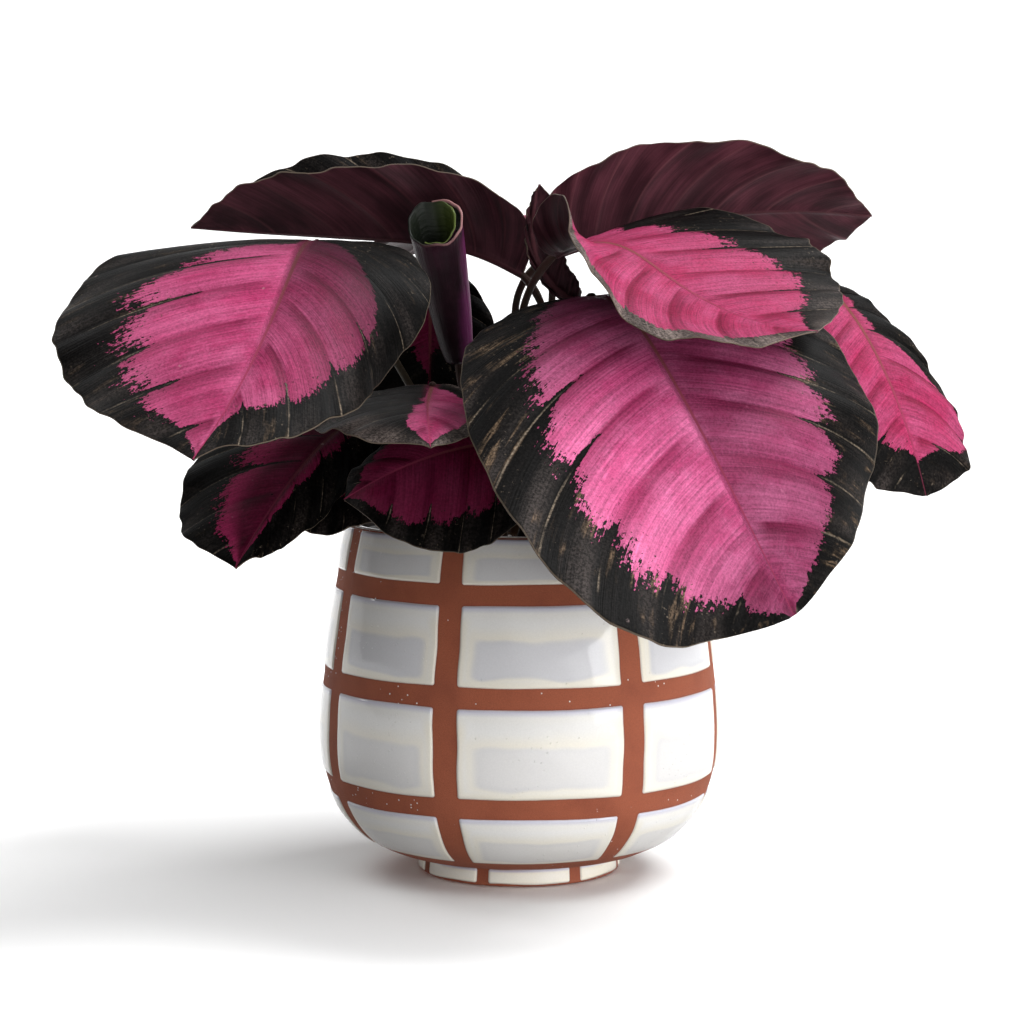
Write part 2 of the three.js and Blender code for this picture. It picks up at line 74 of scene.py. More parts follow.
# The leaves, with the CAD model's own numbers. base is where the blade starts, length is that of
# its midrib, and right and left are the widths of its halves. heading, pitch, roll, curl and fold
# are degrees at even stations from the start of the midrib to its tip. full below 0.85 makes the
# blade blunter, lean moves its widest place, wave and waves are the height and number of the waves
# of its margin, and root and stemGap are for its stem. A key that ends in Right or Left is for one
# half of the blade, and without that it is for both.
LEAVES = [
    dict(name="front_left", base=(-88, -20, 280), length=170, right=98, left=58, root=(-28, 12),
         heading=(-95, -100, -110, -122), pitch=(8, -30, -40, -40), roll=(0, 6, 9, 8),
         curlRight=(-20, -20, -20, -10), curlLeft=(-10, -50, -70, -50), leanLeft=1.0,
         wave=2.4, waves=3.5),
    dict(name="front_right", base=(31, -31, 257), length=190, right=93, left=103, root=(14, -24),
         heading=(-70, -62, -36, -6), pitch=(2, -37, -58, -64), roll=(-4, -10, -28, -38),
         curlRight=(-30, -15, 0, 0), curlLeft=(-10, -30, -30, -20), full=0.5,
         leanRight=-0.6, wave=1.4, waves=3.5),
    dict(name="upper_right", base=(16, -22, 275), length=134, right=56, left=80, root=(8, -12),
         heading=(-24, -43, -38, -26), pitch=(25, -26, -22, -5), roll=(-10, -14, -14, -8),
         curlRight=(150, 60, 15, 0), full=0.55, leanLeft=-0.45, leanRight=-0.3, wave=2.4,
         waves=4, stemGap=1.5),
    dict(name="back_right", base=(11, 34, 272), length=148, right=41, left=42, root=(20, 24),
         heading=(5, 5, 0, -5), pitch=(20, 14, 4, -6), roll=(75, 66, 52, 40), full=0.75,
         foldLeft=(70, 60, 20, 0), leanRight=0.3, wave=2.4, waves=5),
    dict(name="back_left", base=(1, 14, 266), length=146, right=44, left=37, root=(-8, 10),
         heading=(175, 178, 182, 185), pitch=(30, 6, 3, 4), roll=(-75, -62, -60, -60), full=0.75,
         foldRight=(90, 120, 120, 90), leanLeft=0.4, leanRight=0.2, wave=2, waves=3),
    dict(name="far_right", base=(135, 0, 263), length=104, right=38, left=31, root=(32, 0),
         heading=(-30, -35, -38, -40), pitch=(-42, -57, -66, -74), roll=-20,
         curlRight=-10, curlLeft=-20, full=0.52, leanLeft=-1.7, leanRight=-0.3, wave=1.2, waves=5),
    dict(name="middle", base=(-38, -22, 218), length=105, right=50, left=30, root=(-12, -28),
         heading=(-92, -90, -88, -86), pitch=(-8, -6, -8, -26), curl=-15,
         wave=2.2, waves=4),
    dict(name="inner", base=(26, -9, 254), length=58, right=3.5, left=12, root=(28, 0),
         heading=180, pitch=(25, 58, 88, 104), roll=-75, curl=-10,
         full=0.6, wave=1.5, waves=5),
    dict(name="lower_left", base=(-58, -20, 206), length=115, right=56, left=24, root=(-32, -26),
         heading=(-130, -128, -126, -122), pitch=(0, -28, -40, -45), roll=(10, 15, 15, 10),
         curlRight=-25, curlLeft=-80, full=0.78, leanLeft=0.8, wave=2.2, waves=3.5),
    dict(name="tucked_left", base=(-50, -4, 186), length=78, right=32, left=30, root=(-40, -8),
         heading=-138, pitch=(0, -16, -28, -36), roll=(10, 15, 15, 10),
         curlRight=-25, curlLeft=-40, wave=3, waves=3.5),
    dict(name="lower_middle", base=(7, -62, 197), length=84, right=20, left=46, root=(-2, -44),
         heading=(-165, -168, -172, -175), pitch=(0, -10, -22, -32), roll=(50, 50, 50, 40),
         curlRight=-20, curlLeft=-25, full=0.72, wave=1.6, waves=3.5),
    dict(name="young", base=(-40, 44, 268), length=80, right=33, left=31, root=(-38, 32),
         heading=-92, pitch=(-50, -78, -85, -88), curl=-20,
         wave=1.5, waves=2.5),
    dict(name="rear_top", base=(10, 62, 282), length=120, right=46, left=46, root=(-2, 40),
         heading=(120, 122, 126, 130), pitch=(30, 2, -12, -26), curl=-20,
         wave=2.4, waves=3.5),
    dict(name="rear_left", base=(-40, 60, 250), length=140, right=58, left=58, root=(-22, 38),
         heading=(140, 135, 130, 130), pitch=(30, -5, -35, -50), curl=-20,
         wave=2.4, waves=3.5),
    dict(name="rear_right", base=(50, 60, 235), length=140, right=58, left=58, root=(26, 32),
         heading=(60, 55, 50, 45), pitch=(20, -10, -40, -55), curl=-20,
         wave=2.4, waves=3.5),
]

# The rolled young leaf: a sheet wound about a leaning axis, cut slantwise at its mouth.
ROLLED = dict(
    foot=(-27, -3, 228), mouth=(-38, -17, 292), footRadius=4.6, mouthRadius=13, swell=0.45,
    turns=1.6, turnGap=0.24, mouthSlant=8, thickness=0.9, around=120, along=60,
    root=(-16, 2), stemGap=-1.5,
)


def at_stations(value, share):
    """The value at a share of the way along evenly spaced stations, smoothly joined."""
    share = np.asarray(share, float)
    if np.isscalar(value):
        return np.full(share.shape, float(value))
    knots = np.asarray(value, float)
    last = len(knots) - 1
    x = np.clip(share, 0, 1) * last
    i = np.minimum(x.astype(int), last - 1)
    f = x - i
    p0, p1 = knots[np.maximum(i - 1, 0)], knots[i]
    p2, p3 = knots[i + 1], knots[np.minimum(i + 2, last)]
    bend = 2 * p0 - 5 * p1 + 4 * p2 - p3
    twist = 3 * p1 - p0 - 3 * p2 + p3
    return 0.5 * (2 * p1 + (p2 - p0) * f + bend * f ** 2 + twist * f ** 3)


def by_side(leaf, key, v, share, usual=0):
    """A leaf's number for its right half where v is above 0, and else for its left half."""
    both = leaf.get(key, usual)
    right, left = (at_stations(leaf.get(key + side, both), share) for side in ("Right", "Left"))
    return np.where(v > 0, right, left)


def smooth(value, low, high):
    """0 below low, 1 above high and a soft rise between them."""
    x = np.clip((value - low) / (high - low), 0, 1)
    return x * x * (3 - 2 * x)


def unit(vectors):
    """The same directions with length 1."""
    return vectors / np.maximum(np.linalg.norm(vectors, axis=-1, keepdims=True), 1e-12)


def stacked(*parts):
    """Arrays of x, y and z joined into points."""
    return np.stack(np.broadcast_arrays(*parts), axis=-1).astype(float)


def blade_frame(leaf, share):
    """Forward, rightward and upper-side directions of a blade at a share of its midrib."""
    heading = np.radians(at_stations(leaf["heading"], share))
    pitch = np.radians(at_stations(leaf["pitch"], share))
    roll = np.radians(at_stations(leaf.get("roll", 0), share))[..., None]
    forward = stacked(
        np.cos(pitch) * np.cos(heading), np.cos(pitch) * np.sin(heading), np.sin(pitch))
    level = stacked(np.sin(heading), -np.cos(heading), 0 * heading)
    over = np.cross(level, forward)
    right = level * np.cos(roll) + over * np.sin(roll)
    upper = over * np.cos(roll) - level * np.sin(roll)
    return forward, right, upper


def midrib_points(leaf):
    """Points along the midrib, one more than the number of steps."""
    middles = (np.arange(MIDRIB_STEPS) + 0.5) / MIDRIB_STEPS
    forward = blade_frame(leaf, middles)[0] * (leaf["length"] / MIDRIB_STEPS)
    start = np.array([leaf["base"]], float)
    return np.concatenate([start, start + np.cumsum(forward, axis=0)])


def flat_blade(leaf, t, v):
    """The blade laid flat: t numbers the side veins from 0 to 1, v runs from margin to margin."""
    turn = math.pi * t
    near_tip = np.maximum(0, 1 - (1 - t) / DRIP_SHARE)
    margin_x = 0.5 - 0.5 * np.cos(turn) + DRIP_TIP * near_tip ** 2
    lean = 1 + by_side(leaf, "lean", v, t) * (0.5 - t)
    swell = np.maximum(np.sin(turn), 0) ** leaf.get("full", 0.85)
    margin_y = swell * (1 - 0.35 * near_tip) * lean
    start_x = np.where(t > 0.999, margin_x, t ** VEIN_POWER)
    bend_x = start_x + 0.3 * (margin_x - start_x)
    bend_y = 0.56 * margin_y
    u = np.abs(v)
    x = (1 - u) ** 2 * start_x + 2 * u * (1 - u) * bend_x + u ** 2 * margin_x
    y = 2 * u * (1 - u) * bend_y + u ** 2 * margin_y
    half = np.where(v > 0, leaf["right"], leaf["left"])
    return x * leaf["length"], y * half, half


def blade_points(leaf, t, v):
    """Points of the blade's middle surface in space."""
    x, y, half = flat_blade(leaf, t, v)
    share = np.clip(x / leaf["length"], 0, 1)
    forward, right, upper = blade_frame(leaf, share)
    midrib = midrib_points(leaf)
    step = np.minimum((share * MIDRIB_STEPS).astype(int), MIDRIB_STEPS - 1)
    part = (share * MIDRIB_STEPS - step)[..., None]
    points = midrib[step] * (1 - part) + midrib[step + 1] * part
    points = points + forward * (x - share * leaf["length"])[..., None]

    side = np.where(v > 0, 1.0, -1.0)
    fold = np.radians(by_side(leaf, "fold", v, share))
    turn = np.radians(by_side(leaf, "curl", v, share)) / half
    turn = np.where(np.abs(turn) < 1e-6, 1e-6, turn)
    angle = fold + turn * y
    out = (np.sin(angle) - np.sin(fold)) / turn
    rise = (np.cos(fold) - np.cos(angle)) / turn
    points = points + right * (side * out)[..., None] + upper * rise[..., None]

    swing = np.sin(2 * math.pi * leaf["waves"] * t + np.where(v > 0, 1.3, 0.0))
    wave = leaf["wave"] * np.abs(v) ** 3 * swing * np.sqrt(np.maximum(np.sin(math.pi * t), 0))
    lift = upper * (wave * np.cos(angle))[..., None]
    return points + lift - right * (wave * side * np.sin(angle))[..., None]


def sheet_normals(points):
    """Upper-side directions of a grid whose rows run along t and whose columns run along v."""
    along = np.gradient(points, axis=0)
    across = np.gradient(points, axis=1)
    return unit(np.cross(across, along))


def vein_number(leaf, t, v):
    """Counts the side veins: a whole number is a vein, and the two sides take turns."""
    return t * leaf.get("veins", 9) + np.where(v > 0, 20.5, 0.0)


def blade_relief(leaf, t, v, y):
    """Rise of the upper side: pleats between side veins, a groove on the midrib, small ruffles."""
    u = np.abs(v)
    beat = np.mod(vein_number(leaf, t, v), 1)
    pleat = np.sin(math.pi * beat ** 0.75) ** 0.8 - 0.55
    middle = smooth(u, 0.03, 0.25) * (1 - 0.45 * smooth(u, 0.8, 1.0))
    ends = np.sqrt(np.sin(math.pi * t))
    groove = -GROOVE_DEPTH * np.exp(-((y / GROOVE_WIDTH) ** 2))
    ruffle = RUFFLE_HEIGHT * u ** 5 * np.sin(17 * leaf["waves"] * t + 2.1 * np.sign(v))
    return (PLEAT_HEIGHT * pleat * middle + groove + ruffle) * ends


def blade_grid():
    """Side-vein and margin numbers of a blade's grid, closer together at the tip and margins."""
    t = np.concatenate([[0.002, 0.006], np.linspace(0.012, 0.985, BLADE_ROWS - 4),
                        [0.992, 0.997, 0.9995]])
    v = np.concatenate([[-1, -0.985], np.linspace(-0.965, 0.965, BLADE_COLUMNS - 3), [0.985, 1]])
    return np.meshgrid(t, v, indexing="ij")


def stem_points(root, base, direction, gap):
    """Points along a stem from its place in the soil up into the start of its blade."""
    foot = np.array([root[0], root[1], SOIL_LEVEL - HOLE_DEPTH + FOOT_GAP], float)
    end = np.array(base, float) - direction * gap
    reach = np.linalg.norm(end - foot)
    above = foot + np.array([0, 0, 0.5 * reach])
    before = end - direction * 0.25 * reach - np.array([0, 0, 0.1 * reach])
    s = np.linspace(0, 1, STEM_STEPS + 1)[:, None]
    curve = ((1 - s) ** 3 * foot + 3 * s * (1 - s) ** 2 * above
             + 3 * s ** 2 * (1 - s) * before + s ** 3 * end)
    if gap > 0:
        curve = np.concatenate([curve, curve[-1:] + direction * (gap + STEM_REACH)])
    return curve


class Value:
    """What a node gives, with the sums that a material makes of it."""

    def __init__(self, nodes, socket):
        self.nodes = nodes
        self.socket = socket

    def __add__(self, other):
        return self.nodes.maths("ADD", self, other)

    def __sub__(self, other):
        return self.nodes.maths("SUBTRACT", self, other)

    def __rsub__(self, other):
        return self.nodes.maths("SUBTRACT", other, self)

    def __mul__(self, other):
        return self.nodes.maths("MULTIPLY", self, other)

    def above(self, limit):
        """1 above a limit and 0 below it."""
        return self.nodes.maths("GREATER_THAN", self, limit)

    def soft(self, low, high):
        """0 below low, 1 above high; with low above high it falls instead of rising."""
        start, end = (1.0, 0.0) if low > high else (0.0, 1.0)
        node = self.nodes.add("MapRange", {"Value": self, "From Min": min(low, high),
                                           "From Max": max(low, high), "To Min": start,
                                           "To Max": end}, interpolation_type="SMOOTHSTEP")
        return Value(self.nodes, node.outputs[0])

    def toward(self, colour, share):
        """This colour mixed with another one."""
        return self.nodes.mix(share, self, colour)

    def lit(self, share):
        """This colour made lighter or darker by a number."""
        node = self.nodes.add("VectorMath", {0: self, "Scale": share}, operation="SCALE")
        return Value(self.nodes, node.outputs[0])


class Nodes:
    """A material and the nodes that are put into it."""

    def __init__(self, name, rough, specular):
        self.material = bpy.data.materials.new(name)
        self.material.use_nodes = True
        self.tree = self.material.node_tree
        self.shader = self.tree.nodes["Principled BSDF"]
        self.put(rough, self.shader.inputs["Roughness"])
        self.put(specular, self.shader.inputs["Specular IOR Level"])
        self.place = Value(self, self.add("TexCoord").outputs["Object"])

    def put(self, value, socket):
        """Joins a value to a socket, or sets the socket's own number or colour."""
        if isinstance(value, Value):
            self.tree.links.new(value.socket, socket)
        else:
            socket.default_value = value

    def add(self, kind, inputs=None, **settings):
        """A new node with what goes into it and its settings."""
        node = self.tree.nodes.new("ShaderNode" + kind)
        for key, value in settings.items():
            setattr(node, key, value)
        for key, value in (inputs or {}).items():
            self.put(value, node.inputs[key])
        return node

    def maths(self, operation, *values):
        """A sum on one or two numbers."""
        node = self.add("Math", dict(enumerate(values)), operation=operation)
        return Value(self, node.outputs[0])

    def mix(self, share, first, second):
        """A colour between two."""
        node = self.add("Mix", {"Factor": share}, data_type="RGBA")
        colours = [socket for socket in node.inputs if socket.type == "RGBA"]
        for value, socket in zip((first, second), colours):
            self.put((*value, 1.0) if isinstance(value, tuple) else value, socket)
        return Value(self, next(socket for socket in node.outputs if socket.type == "RGBA"))

    def attribute(self, name):
        """The three numbers that the mesh keeps under a name."""
        source = self.add("Attribute", attribute_name=name)
        split = self.add("SeparateXYZ", {0: Value(self, source.outputs["Vector"])})
        return [Value(self, output) for output in split.outputs]

    def noise(self, scale, detail=2.0, rough=0.5, at=None):
        """Soft noise from 0 to 1, by the place on the object or by three numbers."""
        place = self.place
        if at:
            place = Value(self, self.add("CombineXYZ", dict(enumerate(at))).outputs[0])
        node = self.add("TexNoise", {"Vector": place, "Scale": scale, "Detail": detail,
                                     "Roughness": rough})
        return Value(self, node.outputs[0])

    def cells(self, scale):
        """Distance to the nearest scattered point, and that point's random number."""
        node = self.add("TexVoronoi", {"Vector": self.place, "Scale": scale})
        split = self.add("SeparateColor", {0: Value(self, node.outputs["Color"])})
        return Value(self, node.outputs["Distance"]), Value(self, split.outputs[0])

    def finish(self, colour, rough=None, height=None, distance=0.001, strength=1.0):
        """Joins colour, roughness and relief to the shader and gives the material."""
        self.put(colour, self.shader.inputs["Base Color"])
        if rough is not None:
            self.put(rough, self.shader.inputs["Roughness"])
        if height is not None:
            bump = self.add("Bump", {"Strength": strength, "Distance": distance,
                                     "Height": height})
            self.tree.links.new(bump.outputs[0], self.shader.inputs["Normal"])
        return self.material


# Colours of the leaves and stems, as light they send back.
MARGIN_LINE = (0.17, 0.135, 0.10)
DARK_GREEN = (0.0031, 0.0028, 0.0027)
SHEEN_GREY_GREEN = (0.027, 0.0218, 0.0200)
BRONZE = (0.12, 0.080, 0.050)
HAZE = (0.19, 0.15, 0.135)
SHEEN_SPOT = (0.52, 0.20, 0.30)
SCAR = (0.36, 0.27, 0.27)
OLIVE_RIB = (0.17, 0.090, 0.048)
PINK_RIB = (0.30, 0.035, 0.09)
WINE = (0.019, 0.0054, 0.0080)
WINE_LIGHT = (0.052, 0.0150, 0.0215)
WINE_RIB = (0.080, 0.026, 0.032)
ROLL_GREEN = (0.007, 0.009, 0.006)
ROLL_LIME = (0.085, 0.115, 0.022)
ROLL_PURPLE = (0.010, 0.0028, 0.0055)
ROLL_WINE = (0.022, 0.006, 0.012)
ROLL_FUCHSIA = (0.17, 0.018, 0.115)
ROLL_LIP = (0.42, 0.20, 0.20)
STEM_OLIVE = (0.026, 0.018, 0.009)
STEM_RED = (0.034, 0.013, 0.011)
STEM_BROWN = (0.030, 0.022, 0.013)
STEM_FOOT = (0.16, 0.085, 0.05)


def leaf_upper(name, leaf):
    """The upper side: a brushed crimson centre in a blackish green margin, with fine ribbing."""
    n = Nodes(name, 0.45, leaf.get("sheen", 0.04))
    vein, reach, share = n.attribute("vein")
    rib, zone, feather = n.attribute("blade")
    # Painted shade and light: a number that makes each half darker where shade falls on it and
    # lighter where light falls. Beside it, the haze.
    tone, haze, _ = n.attribute("tone")
    near_vein = n.maths("PINGPONG", vein, 0.5)
    past_vein = n.maths("FRACT", vein)

    def along_veins(across, along, shift, detail=2.0, rough=0.6):
        """Noise that is drawn out along the side veins."""
        return n.noise(1.0, detail, rough, (vein * across, reach * along, leaf["seed"] + shift))

    strokes = along_veins(15, 9, 0, 3, 0.75)
    bristles = along_veins(38, 13, 1)
    broad = along_veins(1.6, 2, 5, 1, 0.5)
    lines = along_veins(21, 1.2, 9, 2, 0.65)
    fine = along_veins(52, 3.5, 2)
    streak = along_veins(4.2, 1.4, 3)
    smear = along_veins(7, 2.6, 6)
    shade_and_light_patches = n.noise(19)
    blotch = n.noise(48, 3, 0.6)
    dots = n.noise(260, 2, 0.6)
    specks = n.noise(620, 2, 0.6)
    flecks = n.noise(900, 3, 0.7)

    # Where the crimson ends: brushed, notched at the veins and broken into specks.
    notch = near_vein.soft(0.09, 0) * broad.soft(0.36, 0.60) * 2.6
    lobes = near_vein.soft(0, 0.45) * -0.55
    brushed = (strokes - 0.5) * 3.4 + (bristles - 0.5) * 1.8 + (broad - 0.5) * 2
    speckle = (specks - 0.5) * 2.2 + (dots - 0.5) * 1.6
    edge = zone + feather * (brushed + notch + lobes + speckle + 0.15)
    dark_flecks = zone.soft(-0.28, -0.02) * specks.soft(0.655, 0.68)
    crimson = edge.soft(0.006, -0.006) * (1 - dark_flecks * 0.85)

    # The crimson: random patches of painted shade and painted light, painted shade in the valleys
    # along the veins, a painted highlight on the crests, and a silky grain.
    cast = blotch * 0.5 + broad * 0.3 + strokes * 0.2
    pink = n.mix(cast.soft(0.38, 0.64), leaf["pink"], leaf["pale"])
    pink = pink.toward(leaf["deep"], shade_and_light_patches.soft(0.52, 0.72) * 0.35)
    pink = pink.toward(leaf["pale"], shade_and_light_patches.soft(0.46, 0.30) * 0.40)
    painted_crease_shade = n.maths("MAXIMUM", past_vein.soft(0.42, 0), past_vein.soft(0.93, 1))
    pink = pink.toward(leaf["deep"], painted_crease_shade * reach.soft(0, 0.16) * (broad * 0.9 + 0.35))
    painted_crest_highlight = past_vein.soft(0.48, 0.72) * past_vein.soft(0.95, 0.80)
    pink = pink.toward(leaf["pale"], painted_crest_highlight * reach.soft(0.05, 0.3) * 0.28)
    fringe = leaf.get("fringePink", leaf["pale"])
    pink = pink.toward(fringe, zone.soft(-0.30, -0.02) * leaf.get("fringe", 0.25))
    silk = lines.soft(0.33, 0.67) * 0.34 + fine.soft(0.33, 0.67) * 0.24
    pink = pink.lit((silk + flecks.soft(0.35, 0.65) * 0.36 + 0.55) * tone)
    pink = pink.toward(SHEEN_SPOT, dots.soft(0.66, 0.78) * blotch.soft(0.52, 0.66) * 0.35)

    # The margin: a painted grey sheen on its ridges and streaks, worn bronze streaks, pale threads
    # on the veins that are partly a painted sheen, and dust.
    painted_ridge_sheen = past_vein.soft(0.40, 0.72) * past_vein.soft(0.99, 0.80) * 0.75
    painted_ridge_sheen = painted_ridge_sheen + streak.soft(0.45, 0.72) * 0.45
    outward = reach.soft(0.55, 0.95) * 0.75 + 0.25
    dark = n.mix(painted_ridge_sheen * outward * broad.soft(0.30, 0.62), DARK_GREEN, SHEEN_GREY_GREEN)
    worn = smear.soft(0.53, 0.66) * blotch.soft(0.42, 0.60) * bristles.soft(0.30, 0.62)
    dark = dark.toward(BRONZE, worn * leaf.get("bronze", 0.35))
    dark = dark.toward(HAZE, haze * (painted_ridge_sheen * 0.6 + 0.4))
    vein_thread_and_sheen = near_vein.soft(0.028, 0.005) * reach.soft(0.35, 0.7) * smear.soft(0.44, 0.60)
    dark = dark.toward(MARGIN_LINE, vein_thread_and_sheen * 0.75)
    grain = lines.soft(0.3, 0.7) * 0.5 + flecks.soft(0.38, 0.66) * 1.3 + 0.15
    dark = dark.lit(grain * (tone * 0.45 + 0.5))
    dark = dark.toward(MARGIN_LINE, specks.soft(0.66, 0.70) * blotch.soft(0.45, 0.62) * 0.45)

    colour = n.mix(crimson, dark, pink)
    rib_colour = n.mix(share.soft(0.30, 0.95), OLIVE_RIB, PINK_RIB).lit(tone * 0.85 + 0.12)
    colour = colour.toward(rib_colour, rib.soft(1, 0.45) * (crimson * 0.7 + 0.3) * 0.85)
    colour = colour.toward(leaf["deep"], rib.soft(3.2, 1) * share.soft(0.9, 0.3) * 0.35)
    colour = colour.toward(MARGIN_LINE, reach.soft(0.990, 0.999) * 0.6)
    spot, chance = n.cells(95)
    scar = spot.soft(0.11, 0.03) * chance.above(0.93)
    colour = colour.toward(SCAR, scar * flecks.soft(0.45, 0.6) * 0.5)
    rough = blotch * 0.25 + lines * 0.14 + 0.25
    return n.finish(colour, rough, lines * 0.6 + fine * 0.3 + flecks * 0.2, 0.00045, 0.8)


def leaf_under(name, seed, tone):
    """The under side: dull wine purple with lighter ribs and darker bands along the veins."""
    n = Nodes(name, 0.5, 0.10)
    vein, reach, _ = n.attribute("vein")
    rib = n.attribute("blade")[0]
    lines = n.noise(1.0, 2, 0.7, (vein * 22, reach * 1.6, seed))
    bands = n.noise(1.0, 2, 0.5, (vein * 2.5, reach * 1.4, seed + 4))
    blotch = n.noise(40, 3, 0.6)
    flecks = n.noise(1100, 2, 0.7)
    colour = n.mix((bands + blotch * 0.4).soft(0.5, 0.95), WINE, WINE_LIGHT)
    colour = colour.toward(WINE_RIB, n.maths("PINGPONG", vein, 0.5).soft(0.06, 0) * 0.45)
    # Painted shade and light: the under side's brightness, lower for a leaf in shade and higher for
    # a lit one.
    colour = colour.lit((lines.soft(0.3, 0.7) * 0.4 + flecks * 0.3 + 0.65) * tone)
    colour = colour.toward(WINE_RIB, rib.soft(1, 0.5) * 0.8)
    colour = colour.toward(MARGIN_LINE, reach.soft(0.984, 0.998) * 0.6)
    return n.finish(colour, blotch * 0.2 + 0.38, lines * 0.6 + flecks * 0.3, 0.0003, 0.6)


def rolled_inside(name):
    """The upper side of the rolled leaf: dark green at the mouth, lime green in its middle."""
    n = Nodes(name, 0.4, 0.15)
    around, along, _ = n.attribute("vein")
    lines = n.noise(1.0, 2, 0.6, (along * 60, around * 5, 3))
    blotch = n.noise(160, 3, 0.6)
    colour = n.mix(around.soft(0.40, 0.18), ROLL_GREEN, ROLL_LIME)
    colour = colour.lit(lines * 0.8 + blotch * 0.4 + 0.4)
    colour = colour.toward(ROLL_LIP, along.soft(0.975, 0.99) * around.soft(0.60, 0.85) * 0.7)
    return n.finish(colour, blotch * 0.3 + 0.25, lines, 0.0003)


def rolled_outside(name):
    """The under side of the rolled leaf: dark purple, fuchsia on its right side and towards its
    foot.
    """
    n = Nodes(name, 0.42, 0.10)
    around, along, fuchsia_side = n.attribute("vein")
    lines = n.noise(1.0, 2, 0.6, (along * 3, around * 150, 1))
    blotch = n.noise(70, 3, 0.6)
    colour = n.mix(blotch.soft(0.35, 0.7), ROLL_PURPLE, ROLL_WINE)
    colour = colour.toward(ROLL_FUCHSIA, (fuchsia_side + blotch * 0.25).soft(0.62, 1.05) * 0.8)
    colour = colour.lit(lines * 0.7 + 0.65)
    colour = colour.toward(ROLL_LIP, along.soft(0.982, 0.995) * around.soft(0.60, 0.85) * 0.7)
    return n.finish(colour, blotch * 0.25 + 0.3, lines, 0.0003)


def stem_skin(name):
    """A leaf stem: olive brown with fine ribs along it, redder up by the blade."""
    n = Nodes(name, 0.45, 0.12)
    around, along, _ = n.attribute("vein")
    lines = n.noise(1.0, 2, 0.6, (around * 26, along * 5, 2))
    blotch = n.noise(120, 3, 0.6)
    colour = n.mix(along.soft(0.45, 0.95), STEM_OLIVE, STEM_RED)
    colour = colour.toward(STEM_BROWN, blotch.soft(0.4, 0.75)).lit(lines * 0.9 + 0.5)
    colour = colour.toward(STEM_FOOT, along.soft(0.10, 0))
    return n.finish(colour, blotch * 0.3 + 0.3, lines, 0.0003)


# Colours of the planter.
CLAY = (0.285, 0.076, 0.036)
CLAY_DARK = (0.235, 0.060, 0.029)
CLAY_SHADE_BY_GLAZE = (0.11, 0.030, 0.022)
GLAZE = (0.785, 0.772, 0.748)
GLAZE_CREAM = (0.78, 0.72, 0.585)
GLAZE_VIOLET = (0.46, 0.45, 0.58)
GLAZE_GREY = (0.63, 0.625, 0.645)
GLAZE_OUTLINE = (0.50, 0.51, 0.58)
GLAZE_THIN = (0.40, 0.33, 0.30)
GLAZE_INSIDE_SHADE = (0.13, 0.115, 0.105)


def planter_skin(name):
    """White glaze panels that pool grey in the middle, on bare clay with spatters of glaze."""
    n = Nodes(name, 0.4, 0.5)
    from_strip, from_band, corner = n.attribute("edges")
    across, upward, pool = n.attribute("panel")
    grain = n.noise(2400, 3, 0.75)
    cloud = n.noise(38)

    # How far inside a panel's rounded outline a point is, in millimetres.
    short_x = n.maths("MAXIMUM", corner - from_strip, 0)
    short_z = n.maths("MAXIMUM", corner - from_band, 0)
    short = n.maths("SQRT", short_x * short_x + short_z * short_z)
    inside = corner - short + (n.noise(420, 3, 0.7) - 0.5) * 0.16
    glazed = inside.soft(-0.08, 0.12)

    # The glaze: cream at the edges and round a grey pool, violet where it is thick at the top.
    sway = (n.noise(46, 1) - 0.5) * 0.16
    side = n.maths("ABSOLUTE", across + sway * 0.8)
    height = upward + sway
    middle = side.soft(0.86, 0.68) * height.soft(0.08, 0.17) * height.soft(0.62, 0.51)
    outline = middle * (1 - middle) * 4
    halo = side.soft(1.02, 0.84) * height.soft(0, 0.10) * height.soft(0.80, 0.60)
    near_edge = n.maths("MINIMUM", from_strip, from_band)
    cream = n.maths("MAXIMUM", near_edge.soft(6.5, 0.6) * upward.soft(0.98, 0.72), halo * 0.75)
    colour = n.mix(cream * (cloud * 0.7 + 0.35), GLAZE, GLAZE_CREAM)
    colour = colour.toward(GLAZE_GREY, middle * pool)
    colour = colour.toward(GLAZE_OUTLINE, outline * pool * cloud * 0.75)
    colour = colour.toward(GLAZE_VIOLET, from_band.soft(3.4, 0.3) * upward.soft(0.72, 0.9) * 0.75)
    colour = colour.toward(GLAZE_THIN, inside.soft(0.75, 0.1) * 0.5)
    colour = colour.lit(n.noise(1500) * 0.12 + 0.94)
    # Painted shade: the planter's inside, below the lip, is painted dark.
    colour = colour.toward(GLAZE_INSIDE_SHADE, across.soft(2.3, 2.7))

    clay = n.mix(n.noise(60).soft(0.2, 0.6), CLAY_DARK, CLAY).lit(grain * 0.9 + 0.55)
    # Painted shade: the clay is darker along the raised edge of the glaze.
    clay = clay.toward(CLAY_SHADE_BY_GLAZE, inside.soft(-0.9, 0) * 0.35)
    dot, chance = n.cells(760)
    cluster = n.noise(24, 1).soft(0.56, 0.68)
    spatter = dot.soft(0.32, 0.18) * (chance + cluster * 0.14).above(0.993)
    clay = clay.toward(GLAZE, spatter)
    rough = n.maths("MAXIMUM", glazed, spatter * 0.6) * -0.79 + 0.84
    relief = grain * (1 - glazed * 0.97) + spatter * 1.5 + glazed * (n.noise(180, 1) * 0.35)
    return n.finish(n.mix(glazed, clay, colour), rough, relief, 0.0002, 0.8)


def nursery_skin(name):
    """Thin dark moulded plastic with a fine matt grain and scuffs."""
    n = Nodes(name, 0.5, 0.45)
    scuff = n.noise(90, 4, 0.7)
    colour = n.mix(scuff.soft(0.45, 0.75), (0.012, 0.010, 0.010), (0.040, 0.034, 0.032))
    return n.finish(colour, scuff * 0.4 + 0.28, n.noise(2600, 2, 0.6), 0.00012)


